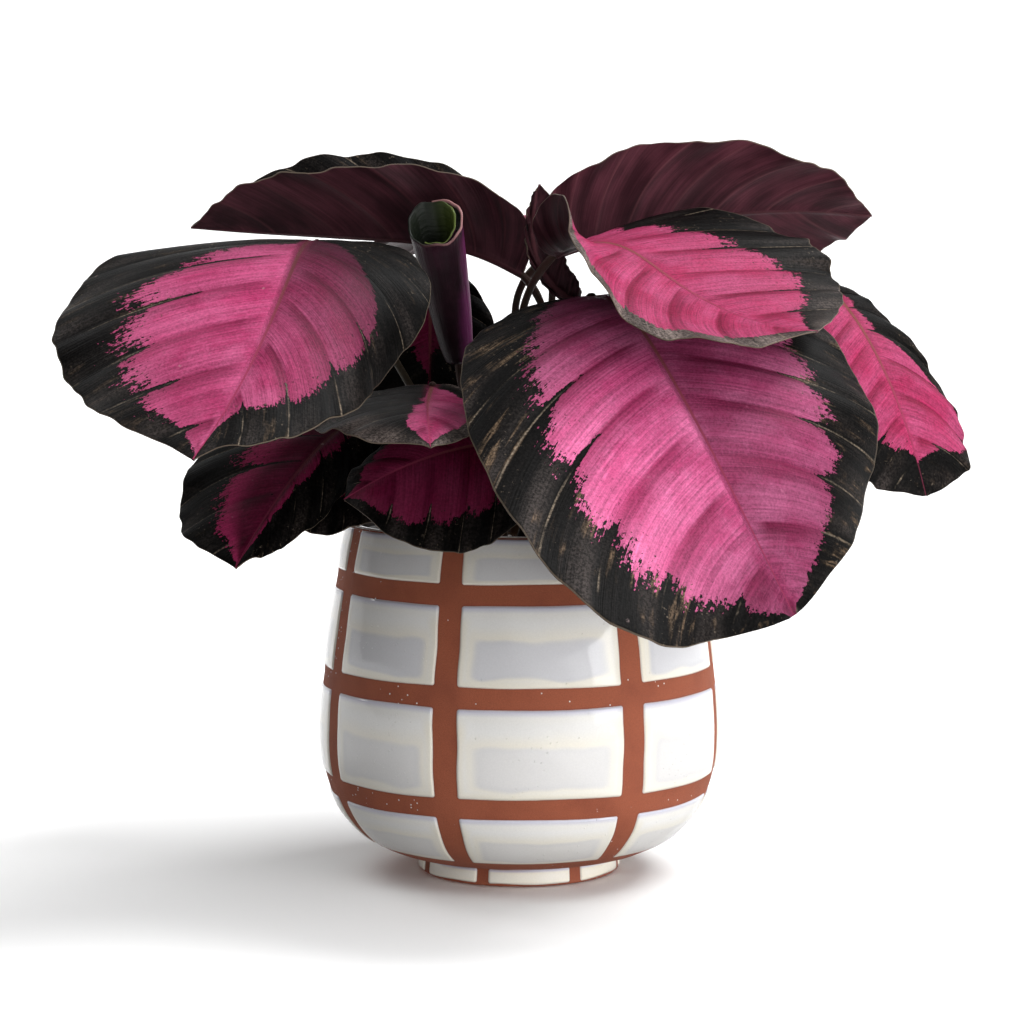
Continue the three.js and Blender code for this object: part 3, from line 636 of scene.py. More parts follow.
def soil_skin(name):
    """Dark potting mix with lighter fibres, bark and a few pale grains."""
    n = Nodes(name, 0.95, 0.2)
    crumbs, chance = n.cells(420)
    large = n.noise(160, 4, 0.7)
    fibres = n.noise(900, 3, 0.8)
    colour = n.mix(large.soft(0.35, 0.7), (0.018, 0.011, 0.007), (0.085, 0.050, 0.028))
    colour = colour.lit(fibres * 1.1 + crumbs * 0.7 + 0.15)
    colour = colour.toward((0.22, 0.15, 0.09), chance.above(0.975))
    return n.finish(colour, None, crumbs + large * 1.2 + fibres * 0.4, 0.0012)


def chip_skin(name, dark, light):
    """Bark chips or white grains that lie on the soil."""
    n = Nodes(name, 0.9, 0.2)
    grain = n.noise(1200, 4, 0.7)
    return n.finish(n.mix(grain.soft(0.3, 0.7), dark, light), None, grain, 0.0006)


def floor_skin(name):
    """The pale studio floor, with the faintest unevenness."""
    n = Nodes(name, 0.85, 0.1)
    return n.finish(n.mix(n.noise(1.5), (0.955, 0.955, 0.955), (0.975, 0.975, 0.975)))


def backdrop_skin(name):
    """A white backdrop that shines evenly."""
    n = Nodes(name, 0.9, 0.1)
    n.shader.inputs["Emission Color"].default_value = (1, 1, 1, 1)
    n.shader.inputs["Emission Strength"].default_value = 1.2
    return n.finish(n.mix(n.noise(0.5, 1), (0.98, 0.98, 0.98), (1.0, 1.0, 1.0)))


# The markings of each leaf. pink, pale and deep are the colours of its centre and of the lighter
# and deeper parts in it. At even stations, reach is how far out the centre goes, 0 at the midrib
# and 1 at the margin, the painted shade makes a half darker where shade falls on it and lighter
# where light falls, haze greys its margin, and feather is how long the brushed edge of the centre
# is. fringe is how strong the colour fringePink is along that edge, bronze how strong the worn
# streaks are, sheen how shiny the upper side is, and under is painted shade and light that makes
# the under side darker for a leaf in shade and lighter for a lit one. veins is how many side veins
# a half has, and scallop how deep its margin is cut between them.
CRIMSON = dict(pink=(0.26, 0.022, 0.080), pale=(0.37, 0.070, 0.160), deep=(0.13, 0.008, 0.036))
# MAUVE is paler and greyer than the crimson, partly as its own colour and partly as a painted
# sheen.
MAUVE = dict(pink=(0.26, 0.034, 0.098), pale=(0.37, 0.088, 0.185), deep=(0.13, 0.008, 0.036))
ROSE = dict(pink=(0.29, 0.019, 0.070), pale=(0.35, 0.056, 0.134), deep=(0.16, 0.009, 0.034))
SHADED = dict(pink=(0.13, 0.006, 0.032), pale=(0.17, 0.018, 0.055), deep=(0.07, 0.003, 0.018))
REAR_REACH = (0.3, 0.5, 0.62, 0.68, 0.70, 0.68, 0.55)
MARKINGS = {
    "front_left": dict(
        CRIMSON, reachRight=(0, 0, -0.20, 0.46, 0.64, 0.72, 0.62),
        reachLeft=(0, 0, 0.08, 0.66, 0.74, 0.62, 0.10),
        toneRight=(0.15, 0.15, 0.15, 0.95, 1.2, 1.15, 1.1),
        toneLeft=(0.1, 0.1, 0.08, 0.26, 0.58, 0.9, 1.05),
        featherRight=0.12, featherLeft=0.055, veins=9, scallop=0.024),
    "front_right": dict(
        MAUVE, reachRight=(0.10, 0.22, 0.42, 0.56, 0.64, 0.67, 0.64),
        reachLeft=(0.45, 0.50, 0.54, 0.60, 0.63, 0.67, 0.66),
        toneRight=(0.3, 0.3, 0.4, 0.85, 1.55, 1.2, 0.42),
        toneLeft=(0.5, 0.5, 0.55, 0.75, 0.75, 0.62, 0.52),
        featherRight=0.10, featherLeft=0.06, bronze=0.9, veins=10, scallop=0.012),
    "upper_right": dict(
        ROSE, reachRight=(0.76, 0.80, 0.84, 0.86, 0.82, 0.76, 0.56),
        reachLeft=(0.90, 0.62, 0.36, 0.50, 0.64, 0.62, 0.40), toneRight=0.93, toneLeft=0.92,
        hazeRight=0.9, hazeLeft=(0, 0, 0, 0, 0, 0.2, 0.4),
        featherRight=0.03, featherLeft=0.07, bronze=0.1, veins=9, scallop=0.045),
    "back_right": dict(
        CRIMSON, reachRight=0.62, reachLeft=0.60, under=1.8, veins=9, scallop=0.03),
    "back_left": dict(
        CRIMSON, reachRight=(0.3, 0.3, 0.3, 0.4, 0.6, 0.85, 0.6), reachLeft=0.5, under=0.95,
        veins=8, scallop=0.045),
    "far_right": dict(
        ROSE, reachRight=(0.90, 0.90, 0.90, 0.90, 0.88, 0.45, -0.4),
        reachLeft=(0.10, 0.12, 0.16, 0.24, 0.96, 0.80, -0.4), toneRight=0.95, toneLeft=0.9,
        featherRight=0.09, featherLeft=0.06, bronze=0.1, veins=8, scallop=0.05),
    "middle": dict(
        CRIMSON, reachRight=(0, 0, 0, 0, 0.05, 0.25, 0.60),
        reachLeft=(0, 0, 0.2, 0.6, 0.75, 0.75, 0.60), toneRight=0.8, toneLeft=0.85,
        haze=0.45, feather=0.05, bronze=0.1, veins=7),
    "inner": dict(CRIMSON, reachRight=0.5, reachLeft=0.6, under=0.8, veins=7),
    "lower_left": dict(
        SHADED, reachRight=(0.2, 0.3, 0.35, 0.40, 0.48, 0.60, 0.55),
        reachLeft=(0.1, 0.15, 0.2, 0.25, 0.25, 0.30, 0.35),
        toneRight=(0.1, 0.1, 0.14, 0.25, 0.42, 0.48, 0.45),
        toneLeft=(0.1, 0.1, 0.1, 0.15, 0.25, 0.3, 0.3),
        featherRight=0.15, featherLeft=0.07, fringe=0.9, fringePink=(0.55, 0.04, 0.16),
        bronze=0.1, sheen=0.015, veins=8, scallop=0.03),
    "tucked_left": dict(SHADED, reach=0.4, bronze=0.1, veins=7),
    "lower_middle": dict(
        SHADED, reachRight=(0.6, 0.7, 0.8, 0.85, 0.85, 0.75, 0.55),
        reachLeft=(0.5, 0.55, 0.58, 0.62, 0.68, 0.74, 0.6), toneRight=0.9, toneLeft=1.05,
        featherRight=0.06, featherLeft=0.08, bronze=0.1, veins=7),
    "young": dict(
        SHADED, reachRight=(0.5, 0.5, 0.5, 0.45, 0.2, 0, -0.4),
        reachLeft=(0.5, 0.5, 0.5, 0.4, 0.1, -0.2, -0.4), toneRight=0.8, toneLeft=0.5,
        feather=0.06, bronze=0.1, sheen=0.02, veins=7),
    "rear_top": dict(CRIMSON, reach=0.5, veins=8),
    "rear_left": dict(CRIMSON, reach=REAR_REACH, veins=9),
    "rear_right": dict(ROSE, reach=REAR_REACH, veins=9),
}
SEED_STEP = 3.7
STEM_GAP = 0.8


def add_object(name, data):
    """A new object in the scene."""
    thing = bpy.data.objects.new(name, data)
    bpy.context.scene.collection.objects.link(thing)
    return thing


def make_piece(name, node, points, faces, looks, attributes=None, sides=None, sharp=None):
    """A mesh piece from points in millimetres, which may take the place of a CAD node."""
    mesh = bpy.data.meshes.new(name)
    mesh.from_pydata((np.reshape(points, (-1, 3)) * MM).tolist(), [], faces, shade_flat=False)
    for material in looks:
        mesh.materials.append(material)
    if sides is not None:
        mesh.polygons.foreach_set("material_index", np.array(sides, np.int32))
    for key, values in (attributes or {}).items():
        layer = mesh.attributes.new(key, "FLOAT_VECTOR", "POINT")
        layer.data.foreach_set("vector", np.asarray(values, np.float32).ravel())
    if sharp is not None:
        mesh.set_sharp_from_angle(angle=math.radians(sharp))
    mesh.update()
    piece = add_object(name, mesh)
    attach(piece, "root")
    if node:
        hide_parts(node)


def grid_faces(rows, columns):
    """Faces of a grid of points that are listed row by row."""
    starts = [row * columns + column for row in range(rows - 1) for column in range(columns - 1)]
    return [(a, a + 1, a + columns + 1, a + columns) for a in starts]


def ring_faces(rings, count):
    """Faces between rings of points that are listed ring by ring, with count points in each."""
    pairs = [(ring * count + k, ring * count + (k + 1) % count)
             for ring in range(rings - 1) for k in range(count)]
    return [(a, b, b + count, a + count) for a, b in pairs]


def grid_outline(rows, columns):
    """The points round the outside of a grid, in the direction of its faces."""
    last = (rows - 1) * columns
    return (list(range(columns - 1)) + [row * columns + columns - 1 for row in range(rows - 1)]
            + list(range(last + columns - 1, last, -1))
            + [row * columns for row in range(rows - 1, 0, -1)])


def add_sheet(name, node, front, back, looks, attributes):
    """A leaf as a closed sheet with a front, a back and a rim that looks like the back."""
    rows, columns = front.shape[:2]
    count = rows * columns
    over = grid_faces(rows, columns)
    below = [tuple(count + i for i in reversed(face)) for face in over]
    around = grid_outline(rows, columns)
    rim = [(b, a, a + count, b + count) for a, b in zip(around, around[1:] + around[:1])]
    sides = [0] * len(over) + [1] * (len(below) + len(rim))
    twice = {key: np.concatenate([values, values]) for key, values in attributes.items()}
    make_piece(name, node, np.concatenate([front, back]), over + below + rim, looks,
               twice, sides)


def scallops(leaf, t, v):
    """How far the edge falls back between the ends of the side veins, as a share of the width."""
    count = vein_number(leaf, t, v)
    beat = 0.5 + 0.5 * np.sin(2 * math.pi * count + leaf["seed"])
    small = 0.5 + 0.5 * np.sin(14.3 * count + 2.7 * leaf["seed"])
    return leaf.get("scallop", 0.018) * (0.7 * beat + 0.3 * small)


def add_blade(leaf):
    """One blade as a closed sheet with its pleats, its rib and what the materials read."""
    t, v = blade_grid()
    x, y, _ = flat_blade(leaf, t, v)
    u = np.abs(v)
    middle = blade_points(leaf, t, v * (1 - scallops(leaf, t, v) * u ** 6))
    middle = middle + sheet_normals(middle) * blade_relief(leaf, t, v, y)[..., None]
    normal = sheet_normals(middle)
    thin = BLADE_THICKNESS / 2 * (1 - 0.5 * u ** 10)
    rib = RIB_HEIGHT * (1 - 0.85 * t) * np.exp(-((y / RIB_WIDTH) ** 2)) * smooth(t, 0, 0.04)
    upper = middle + normal * thin[..., None]
    under = middle - normal * (thin + rib)[..., None]

    rib_share = y / (1.5 * (1 - 0.72 * np.clip(x / leaf["length"], 0, 1)))
    beyond = u - by_side(leaf, "reach", v, t)
    # Painted shade and light for each half, which the materials multiply into their colours.
    tone = np.maximum(by_side(leaf, "tone", v, t, 1), 0.05)
    haze = by_side(leaf, "haze", v, t) * smooth(u, 0.45, 0.95)
    attributes = {"vein": stacked(vein_number(leaf, t, v), u, t),
                  "blade": stacked(rib_share, beyond, by_side(leaf, "feather", v, t, 0.09)),
                  "tone": stacked(tone, haze, 0)}
    node = f"leaf_{leaf['name']}"
    looks = [leaf_upper(f"{node}_upper", leaf),
             leaf_under(f"{node}_under", leaf["seed"], leaf.get("under", 1.0))]
    add_sheet(f"{leaf['name']}_blade", node, upper, under, looks, attributes)


def add_stem(name, root, base, direction, gap, look):
    """A leaf stem: a little thicker in its sheath and at the swelling below the blade."""
    curve = stem_points(root, base, direction, gap)
    s = np.linspace(0, 1, len(curve))
    swelling = 0.14 * smooth(s, 0.84, 0.90) * (1 - smooth(s, 0.93, 1.0))
    radii = STEM_RADIUS * (1.0 + 0.32 * (1 - smooth(s, 0.03, 0.22)) - 0.10 * s + swelling)
    forward = unit(np.gradient(curve, axis=0))
    side = unit(np.cross(forward[0], [0.0, 1.0, 0.0]))
    part = np.arange(STEM_SIDES) / STEM_SIDES
    cos, sin = np.cos(2 * math.pi * part), np.sin(2 * math.pi * part)
    rings = []
    for point, ahead, radius in zip(curve, forward, radii):
        side = unit(side - ahead * np.dot(side, ahead))
        up = np.cross(ahead, side)
        rings.append(point + radius * (np.outer(cos, side) + np.outer(sin, up)))
    last = (len(curve) - 1) * STEM_SIDES
    ends = [tuple(reversed(range(STEM_SIDES))), tuple(range(last, last + STEM_SIDES))]
    make_piece(f"{name}_stem", f"stem_{name}", rings,
               ring_faces(len(curve), STEM_SIDES) + ends, [look],
               {"vein": stacked(np.abs(2 * part - 1), s[:, None], 0)})


def add_rolled():
    """The rolled young leaf, wound about its leaning axis."""
    roll = ROLLED
    foot, mouth = np.array(roll["foot"], float), np.array(roll["mouth"], float)
    length = np.linalg.norm(mouth - foot)
    axis = (mouth - foot) / length
    across = unit(np.array([1.0, 0, 0]) - axis * axis[0])
    forth = np.cross(axis, across)
    along, around = np.meshgrid(np.linspace(0, 1, roll["along"] + 1),
                                np.linspace(0, 1, roll["around"] + 1), indexing="ij")
    angle = (around * roll["turns"] - 0.35) * 2 * math.pi
    inward = 1 - roll["turnGap"] * roll["turns"] * (1 - around)
    lip = 0.7 * np.sin(3 * angle + 0.6) + 0.4 * np.sin(7 * angle)
    height = along * (length + roll["mouthSlant"] * (np.sin(angle) - 0.4) + lip)
    share = np.maximum(height / length, 0) ** roll["swell"]
    radius = (roll["footRadius"] + (roll["mouthRadius"] - roll["footRadius"]) * share) * inward
    radius = radius + 0.12 * np.sin(14 * angle) * along + 0.5 * smooth(along, 0.94, 1.0)
    ring = np.cos(angle)[..., None] * across + np.sin(angle)[..., None] * forth
    points = foot + height[..., None] * axis + radius[..., None] * ring
    shift = sheet_normals(points) * roll["thickness"] / 2
    fuchsia_side = 0.5 + 0.5 * np.cos(angle - 0.1) - 0.5 * along + 0.1
    looks = [rolled_outside("rolled_leaf_outside"), rolled_inside("rolled_leaf_inside")]
    add_sheet("rolled_blade", "leaf_rolled", points + shift, points - shift, looks,
              {"vein": stacked(around, along, fuchsia_side)})


# Planter: outlines as pairs of radius and height, as in the CAD model. The foot's outline starts
# with the points of its under side, which the panels stay above.
FOOT_OUTLINE = [(0, 0.6), (30, 0.6), (38, 0.5), (41, 0.15), (42.6, 0), (44.0, 0.25), (44.8, 1.0),
                (44.75, 3), (44.5, 6), (44.4, 7.6), (44.9, 8.6), (46.2, 9.0)]
UNDERSIDE_POINTS = 6
OUTSIDE_OUTLINE = [(50, 9.2), (57, 10.6), (64, 13.4), (71, 17.8), (77, 23.8), (82, 31.2),
                   (85.8, 40.5), (88.2, 51), (88.9, 62), (88.6, 74), (87.6, 87), (85.9, 102.5),
                   (84.4, 112), (82.6, 124), (80.8, 136.5), (79.4, 145), (77.9, 152),
                   (76.9, 155.9), (75.2, 157), (72.8, 156.2), (72, 153.6), (73.6, 143)]
INSIDE_OUTLINE = [(73.6, 143), (78.5, 112), (82.4, 84), (83.2, 62), (80.2, 42), (72, 25.5),
                  (62, 18.8), (48, 16.4), (24, 16.3), (0, 16.3)]
STRIP_WIDTH = 10.5
STRIP_RADIUS = 86
STRIP_ANGLES = (-66.2, -20.9, 33.2, 78.2, 132.1, 186, 239.9)
# Rows of panels: lowest and highest height of the glaze, and how grey it pools there.
PANEL_ROWS = ((1.3, 7.9, 0.0), (15.2, 37.5, 0.6), (46.5, 85.0, 0.72), (94.0, 128.0, 1.0),
              (137.0, 156.0, 0.8))
# The glazed rim: the height where it starts, how soon before that the panels end, how soon
# after it the inside starts, and what the panels' number across is on the lip and inside.
RIM_GLAZE = 156.35
RIM_MARGIN = 0.6
INSIDE_START = 1.0
ON_LIP = 2
ON_INSIDE = 3
# The relief of the glaze: the height that it starts above, its rise and how far from its edge that
# is reached, the corners of the panels, the cushion of each panel and the bead along its edge.
RELIEF_START = 1.0
GLAZE_RISE = 0.5
GLAZE_EDGE = 0.9
CORNER_RADIUS = 1.1
PILLOW_RISE = 0.42
BEAD_RISE = 0.10
# The mesh: how far apart its rows are and the least that they may be, the distances from the edge
# of a panel where there are rows and columns besides, and how many columns a panel has inside.
ROW_STEP = 2.2
ROW_GAP = 0.12
EDGE_OFFSETS = (-0.9, -0.35, 0.0, 0.3, 0.7, 1.2, 2.4)
PANEL_COLUMNS = 10


def through(outline, steps):
    """Points on a smooth curve through an outline."""
    knots = np.array(outline, float)
    share = np.linspace(0, 1, (len(knots) - 1) * steps + 1)
    return np.stack([at_stations(knots[:, 0], share), at_stations(knots[:, 1], share)], axis=1)


def lengths(points):
    """The length of a line up to each of its points."""
    return np.concatenate([[0], np.cumsum(np.linalg.norm(np.diff(points, axis=0), axis=1))])


def planter_profile():
    """Rows of radius, height and length along the outline, and the lengths at the glaze edges."""
    outline = np.concatenate([np.array(FOOT_OUTLINE, float), through(OUTSIDE_OUTLINE, 12)])
    inside = through(INSIDE_OUTLINE, 4)[1:]
    length = lengths(outline)
    top = np.argmax(outline[:, 1])
    rising = np.maximum.accumulate(outline[:top + 1, 1] + np.arange(top + 1) * 1e-9)
    stops = [stop for low, high, _ in PANEL_ROWS for stop in (low, high)] + [RIM_GLAZE]
    start = UNDERSIDE_POINTS
    places = np.interp(stops, rising[start:], length[start:top + 1])
    near = np.add.outer(places, np.outer(EDGE_OFFSETS, (1, -1)).ravel()).ravel()
    wanted = np.concatenate([length[:start + 1], np.arange(length[start], length[-1], ROW_STEP),
                             near, length[top - 3:]])
    wanted = np.unique(np.round(wanted, 2))
    wanted = wanted[np.concatenate([[True], np.diff(wanted) > ROW_GAP])]
    rows = np.stack([np.interp(wanted, length, outline[:, 0]),
                     np.interp(wanted, length, outline[:, 1]), wanted], axis=1)
    beyond = length[-1] + lengths(np.concatenate([outline[-1:], inside]))[1:]
    return np.concatenate([rows, np.column_stack([inside, beyond])]), places


def strip_sway(k, length):
    """How far the edge of a strip strays from its line, in millimetres."""
    return 0.24 * np.sin(0.11 * length + 1.9 * k) + 0.14 * np.sin(0.31 * length + 3.1 * k)


def planter_columns(length):
    """Angles, distance from the nearest strip and place across the panel, for one row."""
    half = STRIP_WIDTH / 2
    following = STRIP_ANGLES[1:] + (STRIP_ANGLES[0] + 360,)
    columns = []
    for k, (this, after) in enumerate(zip(STRIP_ANGLES, following)):
        left, right = 2 * k + 1, 2 * (k + 1) % (2 * len(STRIP_ANGLES))
        start = this + math.degrees((half + strip_sway(left, length)) / STRIP_RADIUS)
        end = after - math.degrees((half + strip_sway(right, length)) / STRIP_RADIUS)
        width = math.radians(end - start) * STRIP_RADIUS
        inner = np.linspace(EDGE_OFFSETS[-1], width - EDGE_OFFSETS[-1], PANEL_COLUMNS)[1:-1]
        places = np.concatenate([EDGE_OFFSETS, inner, width - np.array(EDGE_OFFSETS)[::-1]])
        columns.append([start + np.degrees(places / STRIP_RADIUS),
                        np.minimum(places, width - places), 2 * places / width - 1])
    return np.concatenate(columns, axis=1)


def nearest_panels(length, turn, places):
    """How far inside the nearest row of panels a row of points is, how high in it, and its pool."""
    from_band = np.full(turn.shape, -9.0)
    upward, pool = np.zeros(turn.shape), np.zeros(turn.shape)
    for row, (low, high) in enumerate(zip(places[:-1:2], places[1:-1:2])):
        sway = 0.22 * np.sin(4 * turn + 2.3 * row) + 0.12 * np.sin(11 * turn + row)
        inside = np.minimum(length - low, high - length) + sway
        nearer = inside > from_band
        from_band = np.where(nearer, inside, from_band)
        upward = np.where(nearer, (length - low) / (high - low), upward)
        pool = np.where(nearer, PANEL_ROWS[row][2], pool)
    return from_band, upward, pool


def ring_points(radius, turn, height):
    """Points round the planter's axis, by their angles from its front towards its right."""
    return stacked(radius * np.sin(turn), -radius * np.cos(turn), height)


def add_planter():
    """The planter: raised glaze panels with soft corners between strips and bands of clay."""
    profile, places = planter_profile()
    top = places[-1]
    points, edges, panels = [], [], []
    for radius, height, length in profile:
        angles, from_strip, across = planter_columns(length)
        turn = np.radians(angles)
        from_band, upward, pool = nearest_panels(length, turn, places)
        from_strip = from_strip * radius / STRIP_RADIUS
        on_rim = length > top - RIM_MARGIN
        if on_rim:
            number = ON_INSIDE if length > top + INSIDE_START else ON_LIP
            from_band, from_strip, across, upward, pool = (
                np.full(turn.shape, value) for value in (length - top, 20.0, number, 0.5, 0.0))
        corner = min(CORNER_RADIUS, radius / 30)
        inside = corner - np.hypot(np.maximum(corner - from_strip, 0),
                                   np.maximum(corner - from_band, 0))
        lift = 0
        if height > RELIEF_START and not on_rim:
            cushion = PILLOW_RISE * np.clip(1 - across ** 2, 0, 1) * 4 * upward * (1 - upward)
            bead = BEAD_RISE * smooth(inside, 0, 0.7) * (1 - smooth(inside, 0.8, 2.2))
            lift = GLAZE_RISE * smooth(inside, -0.05, GLAZE_EDGE) + bead + cushion
        points.append(ring_points(radius + lift, turn, height))
        edges.append(stacked(from_strip, from_band, corner))
        panels.append(stacked(across, upward, pool))
    make_piece("glazed_planter", "planter", points,
               ring_faces(len(points), len(points[0])), [planter_skin("glaze_and_clay")],
               {"edges": edges, "panel": panels})


# Nursery pot and soil: outlines as pairs of radius and height, from the bottom up.
NURSERY_OUTLINE = [(0, 17), (50, 17), (52, 18.5), (67.4, 140), (67.6, 148), (69.6, 148.6),
                   (70.2, 149.4), (70.4, 151.6), (70.0, 152.2), (69.4, 152.4), (67.8, 152.0),
                   (67.4, 151.4), (66, 147), (65.8, 139.8), (50.2, 21), (0, 20)]
NURSERY_SIDES = 144
SOIL_WALL = [(0.5, 20.5), (49.4, 21.6), (65.0, 139.0)]
SOIL_RADIUS = 64.8
SOIL_CROWN = 2.0
SOIL_EDGE_HEIGHT = 145.2
SOIL_RINGS = 46
SOIL_SIDES = 150


def add_nursery_pot(look):
    """The plastic pot that stands inside the planter."""
    turn = np.linspace(0, 2 * math.pi, NURSERY_SIDES, endpoint=False)
    rings = [ring_points(radius, turn, height) for radius, height in NURSERY_OUTLINE]
    make_piece("nursery_liner", "nursery_pot", rings,
               ring_faces(len(rings), NURSERY_SIDES), [look], sharp=35)


def soil_height(x, y):
    """Height of the crumbly top of the soil."""
    r = np.hypot(x, y)
    crown = SOIL_EDGE_HEIGHT + SOIL_CROWN * (1 - (r / SOIL_RADIUS) ** 2)
    rough = (0.55 * np.sin(0.31 * x + 1) * np.cos(0.27 * y) + 0.35 * np.sin(0.9 * x + 0.5 * y)
             + 0.30 * np.sin(0.7 * y - 1.1 * x + 2) + 0.22 * np.sin(2.3 * x + 1.7 * y)
             + 0.18 * np.sin(3.1 * y - 1.3 * x))
    return crown + rough * smooth(r, SOIL_RADIUS, SOIL_RADIUS - 4)


def add_soil(look):
    """The soil: a crumbly top, and a plain wall and floor inside the nursery pot."""
    turn = np.linspace(0, 2 * math.pi, SOIL_SIDES, endpoint=False)
    rings = [ring_points(radius, turn, height) for radius, height in SOIL_WALL]
    for radius in SOIL_RADIUS * np.arange(SOIL_RINGS, 0, -1) / SOIL_RINGS:
        ring = ring_points(radius, turn, 0)
        ring[:, 2] = soil_height(ring[:, 0], ring[:, 1])
        rings.append(ring)
    points = np.concatenate(rings + [[(0, 0, soil_height(0, 0))]])
    centre = len(points) - 1
    last = centre - SOIL_SIDES
    faces = ring_faces(len(rings), SOIL_SIDES)
    faces += [(last + k, last + (k + 1) % SOIL_SIDES, centre) for k in range(SOIL_SIDES)]
    make_piece("potting_soil", "soil", points, faces, [look])


# Chips on the soil: a lump's corners and faces. Each kind has a number, the smallest and the
# largest size, how flat it is, its two colours and the seed of its random numbers.
LUMP_CORNERS = [(1, 0, 0), (0, 1, 0), (-1, 0, 0), (0, -1, 0), (0, 0, 1), (0, 0, -1),
                (0.6, 0.6, 0.5), (-0.6, 0.6, 0.5), (-0.6, -0.6, 0.5), (0.6, -0.6, 0.5)]
LUMP_FACES = [(0, 6, 9), (6, 0, 1), (6, 1, 7), (7, 1, 2), (7, 2, 8), (8, 2, 3), (8, 3, 9),
              (9, 3, 0), (4, 6, 7), (4, 7, 8), (4, 8, 9), (4, 9, 6), (5, 1, 0), (5, 2, 1),
              (5, 3, 2), (5, 0, 3)]
BARK = dict(count=150, small=0.9, large=2.6, flat=0.4, seed=11,
            dark=(0.030, 0.016, 0.009), light=(0.13, 0.070, 0.038))
WHITE_GRAIN = dict(count=70, small=0.5, large=1.2, flat=0.8, seed=23,
                   dark=(0.42, 0.40, 0.36), light=(0.70, 0.68, 0.64))


def add_chips(name, look_name, kind):
    """Chips that lie on the soil, each a lump with uneven corners."""
    chance = np.random.default_rng(kind["seed"])
    flat = kind["flat"]
    points, faces = [], []
    for _ in range(kind["count"]):
        r = (SOIL_RADIUS - 3) * math.sqrt(chance.uniform(0.01, 1))
        a, turn = chance.uniform(0, 2 * math.pi, 2)
        size = chance.uniform(kind["small"], kind["large"])
        x, y = r * math.cos(a), r * math.sin(a)
        lump = np.array(LUMP_CORNERS) * chance.uniform(0.7, 1.25, (len(LUMP_CORNERS), 1)) * size
        lump = lump * np.array([1.0, chance.uniform(0.5, 0.9), flat])
        lump[:, 2] += chance.uniform(-0.35, 0.35) * lump[:, 0]
        cos, sin = math.cos(turn), math.sin(turn)
        z = soil_height(x, y) + 0.25 * flat * size
        faces += [tuple(len(points) + i for i in face) for face in LUMP_FACES]
        points += [(x + u * cos - v * sin, y + u * sin + v * cos, z + w) for u, v, w in lump]
    make_piece(name, None, points, faces,
               [chip_skin(look_name, kind["dark"], kind["light"])], sharp=50)


# The camera: its place in metres, how far it looks down in degrees, and its lens.
CAMERA_PLACE = (-0.0032, -1.290, 0.2779)
CAMERA_DROP = 5.2
CAMERA_LENS = 101.95
CAMERA_SENSOR = 36
CAMERA_NEAR = 0.05
CAMERA_FAR = 50

# The studio, in metres. The floor lies a little below the table's level and sweeps up behind.
# The backdrop is a ring round everything that only the camera sees.
FLOOR_SIDE = 9.0
FLOOR_LEVEL = -0.0003
SWEEP_START = 2.2
SWEEP_RADIUS = 1.2
SWEEP_TOP = 5.0
BACKDROP_RADIUS = 8.0
BACKDROP_HEIGHTS = (-1.0, 6.0)
BACKDROP_SIDES = 64

# The light. A panel lamp has a place, the point that it faces, a width, a height and a power. A
# sun has a heading from the camera's side to the right, a rise, a spread and a power. Places and
# sizes are metres, and angles are degrees.
WORLD_LIGHT = 0.25
WINDOW_LAMPS = {
    "window": ((1.55, -0.75, 1.05), (0, 0, 0.16), 1.3, 1.7, 4.5),
    "pane": ((1.30, -1.13, 0.60), (0, 0, 0.12), 0.42, 1.12, 5.4),
}
SUNS = {"key_sun": (103, 58, 30, 2.2), "top_sun": (20, 75, 70, 1.06),
        "front_sun": (46, 22, 50, 0.74)}
BOUNCE_LAMP = ((0.42, -0.64, 0.02), (0, 0, 0.10), 1.0, 0.35, 6)
BACKDROP_LAMPS = {
    "backdrop_left": ((-1.6, 1.2, 2.2), (-0.3, 3.2, 0.6), 1.5, 1.5, 40),
    "backdrop_right": ((1.6, 1.2, 2.2), (0.3, 3.2, 0.6), 1.5, 1.5, 40),
}


def add_camera():
    """The camera at the photograph's viewing angle."""
    data = bpy.data.cameras.new("camera")
    data.lens = CAMERA_LENS
    data.sensor_width = CAMERA_SENSOR
    data.clip_start = CAMERA_NEAR
    data.clip_end = CAMERA_FAR
    camera = add_object("camera", data)
    camera.location = CAMERA_PLACE
    camera.rotation_euler = (math.radians(90 - CAMERA_DROP), 0, 0)
    bpy.context.scene.camera = camera


def add_panel_lamp(name, place, aim, width, height, power):
    """A soft rectangular lamp that faces a point."""
    data = bpy.data.lights.new(name, "AREA")
    data.shape = "RECTANGLE"
    data.size, data.size_y = width, height
    data.energy = power
    lamp = add_object(name, data)
    lamp.location = place
    toward = np.array(aim, float) - np.array(place, float)
    heading = math.atan2(toward[1], toward[0])
    drop = math.atan2(toward[2], math.hypot(toward[0], toward[1]))
    lamp.rotation_euler = (math.pi / 2 + drop, 0, heading - math.pi / 2)
    return lamp


def add_sun(name, heading, rise, spread, power):
    """A broad sun."""
    data = bpy.data.lights.new(name, "SUN")
    data.energy = power
    data.angle = math.radians(spread)
    add_object(name, data).rotation_euler = (math.radians(90 - rise), 0, math.radians(heading))


def add_scenery(name, points, faces, look, flat, hidden_from):
    """A part of the studio, which isn't seen by some kinds of light."""
    mesh = bpy.data.meshes.new(name)
    mesh.from_pydata(points, [], faces, shade_flat=flat)
    mesh.materials.append(look)
    thing = add_object(name, mesh)
    for kind in hidden_from:
        setattr(thing, f"visible_{kind}", False)


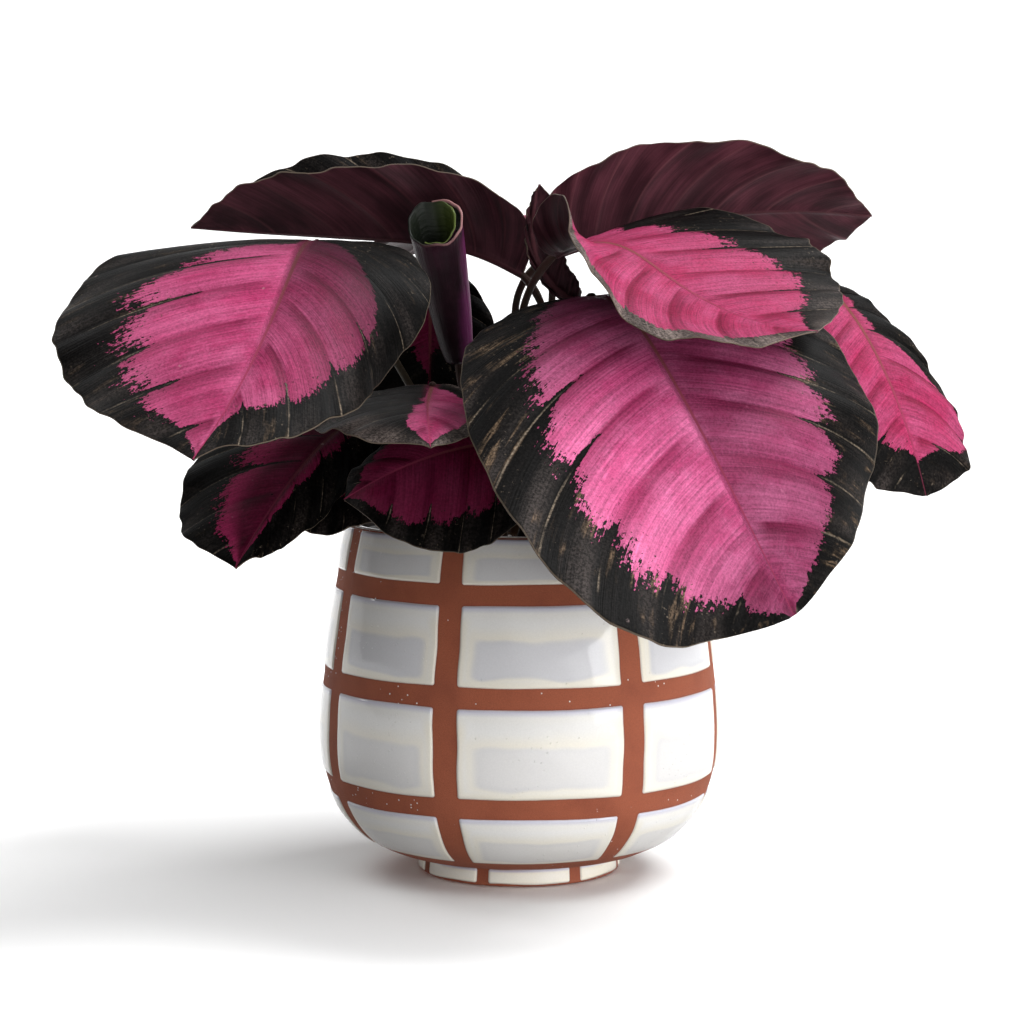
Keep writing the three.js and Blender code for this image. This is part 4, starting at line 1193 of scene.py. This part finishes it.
def add_studio():
    """A pale floor that sweeps up behind, a white backdrop, a window at the right and suns."""
    side = np.linspace(-FLOOR_SIDE, FLOOR_SIDE, 9)
    run = [(-12.0, 0.0), (-4.0, 0.0), (-1.0, 0.0), (1.0, 0.0)]
    run += [(SWEEP_START + SWEEP_RADIUS * math.sin(a), SWEEP_RADIUS - SWEEP_RADIUS * math.cos(a))
            for a in np.linspace(0, math.pi / 2, 13)]
    run.append((SWEEP_START + SWEEP_RADIUS, SWEEP_TOP))
    points = [(x, y, z + FLOOR_LEVEL) for y, z in run for x in side]
    add_scenery("studio_floor", points, grid_faces(len(run), len(side)), floor_skin("pale_floor"),
                False, ["diffuse"])
    turn = np.linspace(0, 2 * math.pi, BACKDROP_SIDES, endpoint=False)
    points = np.concatenate([ring_points(BACKDROP_RADIUS, turn, z) for z in BACKDROP_HEIGHTS])
    add_scenery("studio_backdrop", points.tolist(), ring_faces(2, BACKDROP_SIDES),
                backdrop_skin("white_backdrop"), True,
                ["diffuse", "glossy", "transmission", "shadow"])

    world = bpy.data.worlds.new("studio")
    world.use_nodes = True
    background = world.node_tree.nodes["Background"]
    background.inputs["Color"].default_value = (1.0, 1.0, 1.0, 1.0)
    background.inputs["Strength"].default_value = WORLD_LIGHT
    bpy.context.scene.world = world
    bpy.context.scene.view_settings.view_transform = "Standard"

    for name, numbers in WINDOW_LAMPS.items():
        add_panel_lamp(name, *numbers)
    for name, numbers in SUNS.items():
        add_sun(name, *numbers)
    add_panel_lamp("bounce", *BOUNCE_LAMP).visible_glossy = False
    for name, numbers in BACKDROP_LAMPS.items():
        add_panel_lamp(name, *numbers)


add_camera()
add_studio()
stem_look = stem_skin("olive_stem")
for number, leaf in enumerate(LEAVES):
    leaf.update(MARKINGS[leaf["name"]], seed=SEED_STEP * number)
    add_blade(leaf)
    start = blade_frame(leaf, np.array(0.0))[0]
    gap = leaf.get("stemGap", STEM_GAP)
    add_stem(leaf["name"], leaf["root"], leaf["base"], start, gap, stem_look)
add_rolled()
lean = unit(np.array(ROLLED["mouth"], float) - np.array(ROLLED["foot"], float))
add_stem("rolled", ROLLED["root"], ROLLED["foot"], lean, ROLLED["stemGap"], stem_look)
add_planter()
add_nursery_pot(nursery_skin("dark_plastic"))
add_soil(soil_skin("potting_mix"))
add_chips("bark_chips", "bark", BARK)
add_chips("white_grains", "white_grain", WHITE_GRAIN)
